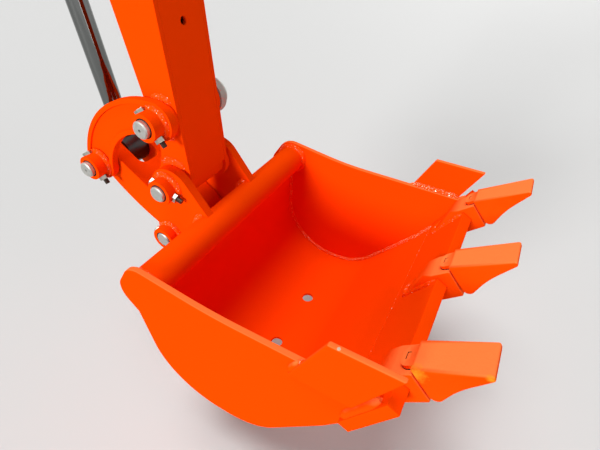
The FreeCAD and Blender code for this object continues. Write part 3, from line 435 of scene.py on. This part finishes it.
def bare_metal(name, colour, rough, scale):
    """Bare metal with fine marks: rough is its mean roughness, scale that of the marks."""
    found = bpy.data.materials.get(name)
    if found:
        return found
    material, tree, shader = new_material(name)
    place = add_node(tree, "ShaderNodeTexCoord")
    marks = add_node(tree, "ShaderNodeTexNoise", Vector=place.outputs["Object"], Scale=scale, Detail=5.0)
    spread = add_node(tree, "ShaderNodeMapRange", Value=marks.outputs["Fac"], To_Min=rough * 0.7, To_Max=rough * 1.4)
    relief = add_node(tree, "ShaderNodeBump", Height=marks.outputs["Fac"], Distance=0.0002, Strength=0.3)
    dark = (*(part * 0.8 for part in colour), 1)
    tree.links.new(mixed(tree, marks.outputs["Fac"], dark, (*colour, 1)), shader.inputs["Base Color"])
    shader.inputs["Metallic"].default_value = 1.0
    tree.links.new(spread.outputs["Result"], shader.inputs["Roughness"])
    tree.links.new(relief.outputs["Normal"], shader.inputs["Normal"])
    return material


def pin_steel():
    return bare_metal("steel_pin", colours().steel, rough=0.42, scale=300.0)


def bolt_zinc():
    return bare_metal("bolt_zinc", colours().zinc, rough=0.28, scale=500.0)


def bolt_thread():
    return bare_metal("bolt_thread", colours().thread, rough=0.4, scale=500.0)


def rod_chrome():
    return bare_metal("chrome_rod", colours().chrome, rough=0.07, scale=40.0)


# Mesh helpers

def finish_mesh(name, bm, material, body, angle=35.0):
    """Turn a bmesh into an object of the part that rides on a body."""
    mesh = bpy.data.meshes.new(name)
    bm.to_mesh(mesh)
    bm.free()
    for face in mesh.polygons:
        face.use_smooth = True
    mesh.set_sharp_from_angle(angle=math.radians(angle))
    mesh.materials.append(material)
    piece = bpy.data.objects.new(name, mesh)
    bpy.context.collection.objects.link(piece)
    even = piece.modifiers.new("even_shading", "WEIGHTED_NORMAL")
    even.keep_sharp = True
    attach(piece, body)
    return piece


def merged(node):
    """A bmesh of a node with its loose triangles joined."""
    bm = bmesh.new()
    bm.from_mesh(frame["nodes"][node].data)
    bmesh.ops.remove_doubles(bm, verts=bm.verts, dist=MERGE)
    return bm


def smoothed(node, material, edge=0.0):
    """A copy of a node, shaded smoothly and with its sharp edges rounded, which stands for it."""
    bm = merged(node)
    flat, corner = math.radians(0.4), math.radians(35)
    if edge:
        bmesh.ops.dissolve_limit(bm, angle_limit=flat, verts=bm.verts, edges=bm.edges)
        bmesh.ops.connect_verts_concave(bm, faces=bm.faces)
        sharp = [e for e in bm.edges if len(e.link_faces) == 2 and e.calc_face_angle(0) > corner]
        bmesh.ops.bevel(bm, geom=sharp, offset=edge, offset_type="OFFSET", segments=2, profile=0.5,
                        affect="EDGES", clamp_overlap=True, material=-1)
        bmesh.ops.triangulate(bm, faces=[face for face in bm.faces if len(face.verts) > 4])
    piece = finish_mesh("smooth_" + node, bm, material, BODY_OF[node])
    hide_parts(node)
    return piece


def turned(bm, profile, centre, steps=40, start=0.0, angle=360.0, closed=False):
    """Spin a profile of (x, r) about an axis along X through centre = (y, z)."""
    y, z = centre
    way = Vector((0, math.cos(math.radians(start)), math.sin(math.radians(start))))
    verts = [bm.verts.new(Vector((x, y, z)) + way * r) for x, r in profile]
    edges = [bm.edges.new(pair) for pair in zip(verts, verts[1:])]
    if closed:
        edges.append(bm.edges.new((verts[-1], verts[0])))
    full = angle >= 360.0
    bmesh.ops.spin(bm, geom=verts + edges, cent=(0, y, z), axis=(1, 0, 0), angle=math.radians(angle), steps=steps,
                   use_merge=full, use_duplicate=False)
    bmesh.ops.remove_doubles(bm, verts=bm.verts, dist=MERGE / 2)
    if not full:
        bmesh.ops.holes_fill(bm, edges=bm.edges, sides=0)
    bmesh.ops.recalc_face_normals(bm, faces=bm.faces)


def weld_ring(name, centre, face, out, inner, width, height, body, arc=(0.0, 360.0), material=None):
    """A weld in the corner between a plate and a boss or tube along X: face is the plate's place on X,
    out the side it looks to, inner the boss's radius. At the ends of an arc it runs out."""
    sunk, bends, fullness = 0.0012, 6, 1.3
    step_angle, fewest_steps = 4, 12
    end_share, end_angle = 0.25, 16
    lump_scale = 160.0
    profile = [(-sunk, -sunk), (-sunk, width)]
    for i in range(1, bends):
        turn = math.radians(90 * i / bends)
        profile.append((height * math.sin(turn) ** fullness, width * math.cos(turn) ** fullness))
    profile += [(height, -sunk)]
    bm = bmesh.new()
    angle = arc[1] - arc[0]
    steps = max(fewest_steps, round(angle / step_angle))
    turned(bm, [(face + out * rise, inner + away) for rise, away in profile], centre, steps, arc[0], angle, True)
    for vert in bm.verts:
        away = Vector((0, vert.co.y - centre[0], vert.co.z - centre[1]))
        past = (math.degrees(math.atan2(away.z, away.y)) - arc[0]) % 360
        run_out = 1.0 if angle >= 360 else min(1.0, end_share + min(past, abs(angle - past)) / end_angle)
        swell = run_out * (1 + sizes().lumps * noise.noise(vert.co * lump_scale))
        rise = (vert.co.x - face) * out
        radius = away.length - inner
        if rise > 0:
            vert.co.x = face + out * rise * swell
        if radius > 0:
            place = away.normalized() * (inner + radius * swell)
            vert.co.y, vert.co.z = centre[0] + place.y, centre[1] + place.z
    finish_mesh(name, bm, material or weld_paint(), body, angle=60.0)


def weld_line(name, path, body, radius=None, closed=False, material=None):
    """A weld along a path: a lumpy round bead that runs out at its ends. Thick beads are calmer."""
    radius = radius or sizes().bead
    step = radius * 0.6
    calm_radius, lump_gain, lump_pitch = 0.0050, 1.4, 0.7
    end_share, end_rise = 0.45, 0.25
    calm = min(1.0, (calm_radius / radius) ** 3)
    points = []
    ends = path + [path[0]] if closed else path
    for a, b in zip(ends, ends[1:]):
        count = max(1, round((b - a).length / step))
        points += [a.lerp(b, i / count) for i in range(count)]
    if not closed:
        points.append(ends[-1])
    curve = bpy.data.curves.new(name, "CURVE")
    curve.dimensions = "3D"
    curve.bevel_depth = radius
    curve.bevel_resolution = 3
    curve.use_fill_caps = not closed
    spline = curve.splines.new("POLY")
    spline.points.add(len(points) - 1)
    for i, (spot, point) in enumerate(zip(spline.points, points)):
        spot.co = (*point, 1)
        run_out = 1.0 if closed else min(1.0, end_share + end_rise * min(i, len(points) - 1 - i))
        lump = noise.noise(point / radius * lump_pitch)
        spot.radius = run_out * (1 + lump_gain * calm * sizes().lumps * lump)
    spline.use_cyclic_u = closed
    curve.materials.append(material or weld_paint())
    piece = bpy.data.objects.new(name, curve)
    bpy.context.collection.objects.link(piece)
    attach(piece, body)


def border(node, x, wanted, key):
    """Points along a node's edge in the plane of x, where the face that leaves that plane is wanted."""
    bm = merged(node)
    found = {}
    for edge in bm.edges:
        if all(abs(vert.co.x - x) < NEAR for vert in edge.verts):
            if any(abs(face.normal.x) < 0.5 and wanted(face) for face in edge.link_faces):
                for vert in edge.verts:
                    found[vert.index] = vert.co.copy()
    bm.free()
    return sorted(found.values(), key=key)


def lip_point(x, up, out=0.0):
    """A point on the lip plate's upper face, up it from its rear edge and out of it."""
    corners = [vert.co for vert in frame["nodes"]["lip_plate"].data.vertices]
    rear = max(corners, key=lambda co: co.y)
    front = max(corners, key=lambda co: co.z)
    along = Vector((0, front.y - rear.y, front.z - rear.z)).normalized()
    return Vector((x, rear.y, rear.z)) + along * up + Vector((0, along.z, -along.y)) * out


def tooth_point(x, along, up):
    """A point along a tooth from the middle of its back face and up across it."""
    top = lip_point(x, LIP_LENGTH) + TOOTH_TOP
    low = top + TOOTH_BACK
    across = (top - low).normalized()
    return (top + low) / 2 + Vector((0, -across.z, across.y)) * along + across * up


# Pieces

class DIPPER_OT_plates(bpy.types.Operator):
    """Painted plates, tubes and castings"""
    bl_idname = "dipper.plates"
    bl_label = "Painted plates"

    def execute(self, context):
        edge = sizes().edge
        cutter_edge, adapter_edge, linkage_edge = edge * 1.8, edge * 1.4, edge * 1.3
        for node, slot in SLOT_OF.items():
            if slot != "orange_paint":
                continue
            material, width = plate_paint(), edge
            if node == "tooth_left":
                material, width = worn_paint(), 0.0
            elif node.startswith("tooth"):
                material, width = cast_paint(), 0.0
            elif node == "side_cutter_left":
                material, width = chipped_paint(), cutter_edge
            elif node == "side_cutter_right":
                material, width = rim_paint(), cutter_edge
            elif node.startswith("bucket_side"):
                material = rim_paint()
            elif node.startswith("adapter"):
                material, width = cast_paint(), adapter_edge
            elif node == "rocker_right":
                material, width = bare_end_paint(), linkage_edge
            elif node in ("rocker_left", "connecting_link"):
                width = linkage_edge
            smoothed(node, material, width)
        return {"FINISHED"}


class DIPPER_OT_pins(bpy.types.Operator):
    """Pins with chamfered ends, two of them with a centre hole, and dark rubber rings in the bores' mouths, which
    also stand in for the shade in the gap round each pin
    """
    bl_idname = "dipper.pins"
    bl_label = "Pins"

    def execute(self, context):
        chamfer = sizes().pin_edge
        hole, hole_floor, hole_depth = 0.0021, 0.6, 0.004
        seal_depth, seal_face, seal_gap, seal_width = 0.0019, 0.0004, 0.0001, 0.0016
        table = [
            # node, centre, inner end or None for a bar right through, centre hole
            ("rocker_pin", ROCKER_PIVOT, None, True),
            ("bucket_pin", BUCKET_PIVOT, None, False),
            ("rod_pin", ROD_PIN, 0.0205, True),
            ("link_pin", LINK_PIN, 0.0485, False),
        ]
        for node, centre, inner, holed in table:
            low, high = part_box(node)
            end, far = low[0], high[0]
            head = (high[1] - low[1]) / 2
            left_end = [(end, 0.0)]
            if holed:
                left_end = [(end + hole_depth, 0.0), (end + hole_depth, hole * hole_floor), (end, hole)]
            left_end += [(end, PIN_RADIUS - chamfer), (end + chamfer, PIN_RADIUS)]
            right_end = [(HEAD_SEAT, PIN_RADIUS), (HEAD_SEAT, head - chamfer / 2), (HEAD_SEAT + chamfer / 2, head),
                         (far - chamfer / 2, head), (far, head - chamfer / 2), (far, 0.0)]
            bm = bmesh.new()
            if inner is None:
                turned(bm, left_end + right_end, centre)
            else:
                turned(bm, left_end + [(-inner, PIN_RADIUS), (-inner, 0.0)], centre)
                turned(bm, [(inner, 0.0), (inner, PIN_RADIUS)] + right_end, centre)
            piece = finish_mesh("turned_" + node, bm, pin_steel(), BODY_OF[node])
            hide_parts(node)
            # A dark seal ring in the bore's mouth, which is also painted shade for the gap round the pin
            seal = bmesh.new()
            inward, outward = BOSS_FACE + seal_depth, BOSS_FACE + seal_face
            turned(seal, [(inward, PIN_RADIUS + seal_gap), (inward, PIN_RADIUS + 2 * seal_gap),
                          (outward, PIN_RADIUS + seal_width), (outward, PIN_RADIUS + seal_gap)], centre,
                   closed=True)
            finish_mesh("seal_" + node, seal, rubber_and_shade(), BODY_OF[node])
        smoothed("cylinder_pin", pin_steel())
        return {"FINISHED"}


class DIPPER_OT_bolts(bpy.types.Operator):
    """Cross bolts that hold the pins in their bosses, on the left side"""
    bl_idname = "dipper.bolts"
    bl_label = "Cross bolts"

    def execute(self, context):
        x = BOSS_FACE + 0.012
        seat = BOSS_RADIUS - 0.0012
        head_height, nut_height, end_length, chamfer = 0.0055, 0.0068, 0.0150, 0.0006
        crest, root, pitch, plain = sizes().bolt, sizes().bolt * 0.86, 0.0012, 0.0040
        table = [
            # name, centre, angle of the head from +Y, body
            ("rocker_pivot", ROCKER_PIVOT, 52.0, "rocker"),
            ("rod_pin", ROD_PIN, 58.0, "rocker"),
            ("bucket_pivot", BUCKET_PIVOT, 18.0, "bucket"),
            ("link_pin", LINK_PIN, 8.0, "bucket"),
        ]
        corner = sizes().bolt_head
        spans = [(seat, seat + head_height), (-seat - nut_height, -seat)]
        for name, centre, angle, body in table:
            bm = bmesh.new()
            way = Vector((0, math.cos(math.radians(angle)), math.sin(math.radians(angle))))
            turn = Vector((0, 0, 1)).rotation_difference(way).to_matrix().to_4x4()
            for low, high in spans:
                place = Matrix.Translation(Vector((x, *centre)) + way * ((low + high) / 2)) @ turn
                bmesh.ops.create_cone(bm, cap_ends=True, segments=6, radius1=corner, radius2=corner,
                                      depth=high - low, matrix=place)
            rims = [edge for edge in bm.edges if edge.calc_face_angle(0) > math.radians(50)]
            bmesh.ops.bevel(bm, geom=rims, offset=chamfer, offset_type="OFFSET", segments=2, profile=0.5,
                            affect="EDGES", clamp_overlap=True, material=-1)
            finish_mesh("cross_bolt_" + name, bm, bolt_zinc(), body, angle=25.0)
            thread = bmesh.new()
            tip = seat + end_length
            profile = [(-tip, 0.0), (-tip, root)]
            start = -tip + pitch / 2
            while start < -seat - plain:
                profile += [(start, crest), (start + pitch / 2, root)]
                start += pitch
            profile += [(-seat, root), (-seat, 0.0)]
            turned(thread, profile, (0.0, 0.0), steps=20)
            along = Vector((1, 0, 0)).rotation_difference(way).to_matrix().to_4x4()
            bmesh.ops.transform(thread, matrix=Matrix.Translation(Vector((x, *centre))) @ along, verts=thread.verts)
            finish_mesh("bolt_thread_" + name, thread, bolt_thread(), body, angle=20.0)
        return {"FINISHED"}


class DIPPER_OT_cylinder(bpy.types.Operator):
    """Bucket cylinder: chrome rod, black barrel, gland and eyes"""
    bl_idname = "dipper.cylinder"
    bl_label = "Bucket cylinder"

    def execute(self, context):
        smoothed("cylinder_rod", rod_chrome())
        for node in ("cylinder_barrel", "cylinder_gland", "barrel_eye", "rod_eye"):
            smoothed(node, black_paint())
        return {"FINISHED"}


class DIPPER_OT_boss_welds(bpy.types.Operator):
    """Welds round the bosses of rockers and ears"""
    bl_idname = "dipper.boss_welds"
    bl_label = "Boss welds"

    def execute(self, context):
        left_height, right_width, right_height = 0.0052, 0.0020, 0.0018
        table = [
            # name, centre, plate's face, width on the left, body
            ("rocker_boss", ROCKER_PIVOT, ROCKER_FACE, 0.0048, "rocker"),
            ("rod_boss", ROD_PIN, ROCKER_FACE, 0.0048, "rocker"),
            ("pivot_boss", BUCKET_PIVOT, EAR_OUTER, 0.0070, "bucket"),
            ("link_boss", LINK_PIN, EAR_OUTER, 0.0044, "bucket"),
        ]
        for name, centre, face, width, body in table:
            weld_ring(f"weld_{name}_left", centre, -face, -1, BOSS_RADIUS, width, left_height, body)
            weld_ring(f"weld_{name}_right", centre, face, 1, BOSS_RADIUS, right_width, right_height, body)
        return {"FINISHED"}


class DIPPER_OT_arm_welds(bpy.types.Operator):
    """Welds round the arm's tubes"""
    bl_idname = "dipper.arm_welds"
    bl_label = "Arm welds"

    def execute(self, context):
        height = 0.0036
        table = [
            # name, centre, tube's radius, width, arc from +Y in degrees
            ("rocker_top", ROCKER_PIVOT, 0.026, 0.0085, (50.0, 128.0)),
            ("rocker_foot", ROCKER_PIVOT, 0.026, 0.0080, (-126.0, -52.0)),
            ("pivot", BUCKET_PIVOT, 0.032, 0.0105, (56.0, 130.0)),
            ("boom", BOOM_PIVOT, 0.031, 0.0055, (0.0, 360.0)),
            ("tail", TAIL_PIN, 0.024, 0.0050, (0.0, 360.0)),
        ]
        for side, hand in SIDES:
            for name, centre, inner, width, arc in table:
                weld_ring(f"weld_{name}_{hand}", centre, side * ARM_FACE, side, inner, width, height, "arm", arc)
        return {"FINISHED"}


class DIPPER_OT_bucket_welds(bpy.types.Operator):
    """Welds of tube, ears, wrapper, lip and side cutters"""
    bl_idname = "dipper.bucket_welds"
    bl_label = "Bucket welds"

    def execute(self, context):
        back = reach("bucket_wrapper", 1, 1)
        tube_foot = TORQUE_TUBE[1] - TUBE_RADIUS
        across = [
            # name, function from x to a point of the weld's middle line, radius or None for the usual one
            ("weld_tube_back", lambda x: Vector((x, back, tube_foot + 0.0010)), None),
            ("weld_tube_front", lambda x: Vector((x, back - 0.0075, tube_foot - 0.0015)), None),
            ("weld_lip_rear", lambda x: lip_point(x, -0.0008, -0.0030), None),
            ("weld_lip_under", lambda x: lip_point(x, 0.0, -0.0110), 0.0038),
        ]
        for name, point, radius in across:
            weld_line(name, [point(side * INSIDE) for side, hand in SIDES], "bucket", radius)
        tube_end, ear_width, ear_height, ear_arc = 0.0055, 0.0065, 0.0070, (-50.0, 70.0)
        back_drops, back_radius = (0.030, 0.094), 0.0042
        seam_radius, inner_radius, foot_radius, rear_radius = 0.0046, 0.0056, 0.0034, 0.0054
        lip_ends, lip_end_radius, lip_end_sunk = (0.004, 0.080), 0.0070, 0.0006
        for side, hand in SIDES:
            outside = side * OUTSIDE
            weld_ring(f"weld_tube_end_{hand}", TORQUE_TUBE, side * INSIDE, -side, TUBE_RADIUS, tube_end, tube_end,
                      "bucket")
            for name, face, out in (("outer", EAR_OUTER, 1), ("inner", EAR_INNER, -1)):
                weld_ring(f"weld_ear_{name}_{hand}", TORQUE_TUBE, side * face, side * out, TUBE_RADIUS, ear_width,
                          ear_height, "bucket", ear_arc)
                weld_line(f"weld_back_{name}_{hand}",
                          [Vector((side * face, back, TORQUE_TUBE[1] - drop)) for drop in back_drops],
                          "bucket", back_radius)
            seam = border("bucket_wrapper", side * INSIDE,
                          lambda face: face.normal.dot(HOLLOW - face.calc_center_median()) > 0,
                          lambda co: math.atan2(co.y - HOLLOW.y, co.z - HOLLOW.z) % math.tau)
            weld_line(f"weld_seam_{hand}", seam, "bucket", seam_radius, material=seam_paint())
            weld_line(f"weld_lip_end_{hand}", [lip_point(side * (OUTSIDE - lip_end_sunk), up) for up in lip_ends],
                      "bucket", lip_end_radius, material=cast_paint())
            low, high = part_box("side_cutter_" + hand)
            rim = border("bucket_side_" + hand, outside, lambda face: face.normal.z > 0.99, lambda co: co.y)[0].z
            lean = CUTTER_LEAN * (rim - low[2]) / (high[2] - low[2])
            rear, front = high[1] - lean, low[1] + CUTTER_LEAN - lean
            inner = [Vector((side * (OUTSIDE - 0.0010), y, rim + 0.0005)) for y in (rear, front)]
            weld_line(f"weld_cutter_inner_{hand}", inner, "bucket", inner_radius, material=seam_paint())
            foot = [Vector((outside, y, low[2])) for y in (high[1], low[1] + CUTTER_LEAN)]
            weld_line(f"weld_cutter_foot_{hand}", foot, "bucket", foot_radius)
            behind = [Vector((side * (OUTSIDE + 0.0010), high[1] + 0.0005, low[2])),
                      Vector((side * (OUTSIDE - 0.0005), rear, rim + 0.0010))]
            weld_line(f"weld_cutter_rear_{hand}", behind, "bucket", rear_radius, material=cast_paint())
        return {"FINISHED"}


class DIPPER_OT_tooth_welds(bpy.types.Operator):
    """Welds of the tooth adapters on the lip"""
    bl_idname = "dipper.tooth_welds"
    bl_label = "Tooth welds"

    def execute(self, context):
        half = (reach("tooth_left", 0, 1) - reach("tooth_left", 0, -1)) / 2
        # Half an adapter's outline on the lip, as (up from the lip's rear edge, away from its middle)
        shape = [(0.090, half), (0.076, half), (0.021, 0.0085), (0.019, 0.0)]
        under = [(0.090, half), (0.070, half), (0.070, -half), (0.090, -half)]
        radius = 0.0034
        for place, x in TEETH.items():
            above = [lip_point(x + away, up) for up, away in shape]
            above += [lip_point(x - away, up) for up, away in shape[-2::-1]]
            weld_line("weld_leg_above_" + place, above, "bucket", radius)
            below = [lip_point(x + away, up, -LIP_THICKNESS) for up, away in under]
            weld_line("weld_leg_below_" + place, below, "bucket", radius)
        return {"FINISHED"}


class DIPPER_OT_locks(bpy.types.Operator):
    """Locks of the teeth, with thin dark lines round each tongue's foot and each lock's slot, which are painted
    shade in these gaps
    """
    bl_idname = "dipper.locks"
    bl_label = "Tooth locks"

    def execute(self, context):
        # The tongue's half width, rear end, corner radius and height over the tooth's middle
        half, rear, bend, foot = 0.0135, -0.0160, 0.0090, 0.0196
        joint, slot_width, start = 0.0007, 0.0005, -0.0010
        # The lock's place on the tongue, its size, and the half sizes and height of the slot round it
        back, up, size, chamfer = -0.0085, 0.0232, (0.0092, 0.0042, 0.0020), 0.0006
        wide, deep, slot_up = 0.0051, 0.0026, 0.0238
        corner = [(half - bend * (1 - math.cos(turn)), rear + bend * (1 - math.sin(turn)))
                  for turn in (math.radians(15 * i) for i in range(7))]
        side = [(half, start)] + corner
        outline = side + [(-away, along) for away, along in side[::-1]]
        for place, x in TEETH.items():
            # Painted shade: a thin dark bead round the tongue's foot stands in for the shade in the gap under it
            weld_line("joint_" + place, [tooth_point(x + away, along, foot) for away, along in outline], "bucket",
                      joint, material=rubber_and_shade())
            # Painted shade: a thin dark loop round the lock's slot stands in for the shade in the slot
            slot = [tooth_point(x + away, back + along, slot_up) for away, along in (
                (-wide, -deep), (wide, -deep), (wide, deep), (-wide, deep))]
            weld_line("slot_" + place, slot, "bucket", slot_width, closed=True, material=rubber_and_shade())
            bm = bmesh.new()
            bmesh.ops.create_cube(bm, size=1.0)
            bmesh.ops.scale(bm, vec=size, verts=bm.verts)
            bmesh.ops.bevel(bm, geom=bm.edges[:], offset=chamfer, offset_type="OFFSET", segments=2, profile=0.5,
                            affect="EDGES", clamp_overlap=True, material=-1)
            centre = tooth_point(x, back, up)
            ahead = (tooth_point(x, 0.01, 0.0) - tooth_point(x, 0.0, 0.0)).normalized()
            turn = Matrix((Vector((1, 0, 0)), ahead, Vector((1, 0, 0)).cross(ahead))).transposed().to_4x4()
            bmesh.ops.transform(bm, matrix=Matrix.Translation(centre) @ turn, verts=bm.verts)
            bmesh.ops.recalc_face_normals(bm, faces=bm.faces)
            finish_mesh("lock_" + place, bm, cast_paint(), "bucket")
        return {"FINISHED"}


class DIPPER_OT_stage(bpy.types.Operator):
    """Floor, lamps, world and camera"""
    bl_idname = "dipper.stage"
    bl_label = "Stage"

    def execute(self, context):
        scene = context.scene
        scene.view_settings.view_transform = "Standard"
        floor_half, floor_gap = 12.0, 0.12
        bm = bmesh.new()
        bmesh.ops.create_grid(bm, x_segments=1, y_segments=1, size=floor_half,
                              matrix=Matrix.Translation((0, 0, CAD_BOX[0][2] - floor_gap)))
        mesh = bpy.data.meshes.new("floor")
        bm.to_mesh(mesh)
        bm.free()
        floor = bpy.data.objects.new("floor", mesh)
        context.collection.objects.link(floor)
        material, tree, shader = new_material("pale_floor")
        shader.inputs["Base Color"].default_value = (0.55, 0.55, 0.545, 1)
        shader.inputs["Roughness"].default_value = 0.8
        shader.inputs["Specular IOR Level"].default_value = 0.2
        mesh.materials.append(material)
        world = bpy.data.worlds.new("studio")
        scene.world = world
        world.use_nodes = True
        tree = world.node_tree
        light = tree.nodes["Background"]
        light.inputs["Color"].default_value = (1, 1, 1, 1)
        path = tree.nodes.new("ShaderNodeLightPath")
        seen = path.outputs["Is Camera Ray"]
        for label in ("Is Glossy Ray", "Is Transmission Ray"):
            seen = maths(tree, "MAXIMUM", seen, path.outputs[label])
        fill, white = 0.06, 1.0
        strength = add_node(tree, "ShaderNodeMapRange", Value=seen, To_Min=fill, To_Max=white)
        tree.links.new(strength.outputs["Result"], light.inputs["Strength"])
        lamps = [
            # name, way to it, angle it fills in degrees, light on a surface that looks to it
            ("key", (-0.95, 0.18, 0.26), 18.0, 1.05),
            ("top", (-0.10, 0.19, 0.98), 30.0, 0.88),
            ("front", (-0.15, -0.98, 0.10), 25.0, 0.24),
            ("right", (0.97, 0.10, 0.20), 30.0, 0.50),
        ]
        for name, way, wide, level in lamps:
            lamp = bpy.data.lights.new(name, "SUN")
            lamp.energy = level * math.pi
            lamp.angle = math.radians(wide)
            holder = bpy.data.objects.new(name, lamp)
            context.collection.objects.link(holder)
            holder.rotation_euler = Vector(way).to_track_quat("Z", "Y").to_euler()
        # The camera's place, its three ways and its focal length in pixels, fitted to the photograph
        spot = Vector((-0.41771, -0.46752, -0.49103))
        right = Vector((0.48168, -0.87569, 0.03401))
        down = Vector((-0.54763, -0.33107, -0.76844))
        view = Vector((0.68417, 0.35151, -0.63902))
        focal, picture_width, sensor_width = 409.79, 600, 36.0
        camera = bpy.data.cameras.new("camera")
        camera.sensor_width = sensor_width
        camera.lens = focal / picture_width * sensor_width
        camera.clip_start = 0.01
        holder = bpy.data.objects.new("camera", camera)
        context.collection.objects.link(holder)
        turn = Matrix((right, -down, -view)).transposed()
        holder.matrix_world = Matrix.Translation(spot) @ turn.to_4x4()
        scene.camera = holder
        return {"FINISHED"}


class DIPPER_PT_panel(bpy.types.Panel):
    """Lists the pieces in the sidebar"""
    bl_label = "Dipper arm and bucket"
    bl_space_type = "VIEW_3D"
    bl_region_type = "UI"
    bl_category = "Dipper"

    def draw(self, context):
        for operator in PIECES:
            self.layout.operator(operator.bl_idname)
        for group in (context.scene.dipper_sizes, context.scene.dipper_colours):
            for name in group.__annotations__:
                self.layout.prop(group, name)


PIECES = (
    DIPPER_OT_plates, DIPPER_OT_pins, DIPPER_OT_bolts, DIPPER_OT_cylinder, DIPPER_OT_boss_welds,
    DIPPER_OT_arm_welds, DIPPER_OT_bucket_welds, DIPPER_OT_tooth_welds, DIPPER_OT_locks, DIPPER_OT_stage,
)
CLASSES = (DipperSizes, DipperColours) + PIECES + (DIPPER_PT_panel,)


def register():
    for item in CLASSES:
        bpy.utils.register_class(item)
    bpy.types.Scene.dipper_sizes = bpy.props.PointerProperty(type=DipperSizes)
    bpy.types.Scene.dipper_colours = bpy.props.PointerProperty(type=DipperColours)


def unregister():
    del bpy.types.Scene.dipper_colours
    del bpy.types.Scene.dipper_sizes
    for item in reversed(CLASSES):
        bpy.utils.unregister_class(item)


def main():
    register()
    bpy.ops.dipper.plates()
    bpy.ops.dipper.pins()
    bpy.ops.dipper.bolts()
    bpy.ops.dipper.cylinder()
    bpy.ops.dipper.boss_welds()
    bpy.ops.dipper.arm_welds()
    bpy.ops.dipper.bucket_welds()
    bpy.ops.dipper.tooth_welds()
    bpy.ops.dipper.locks()
    bpy.ops.dipper.stage()


if __name__ == "__main__":
    main()
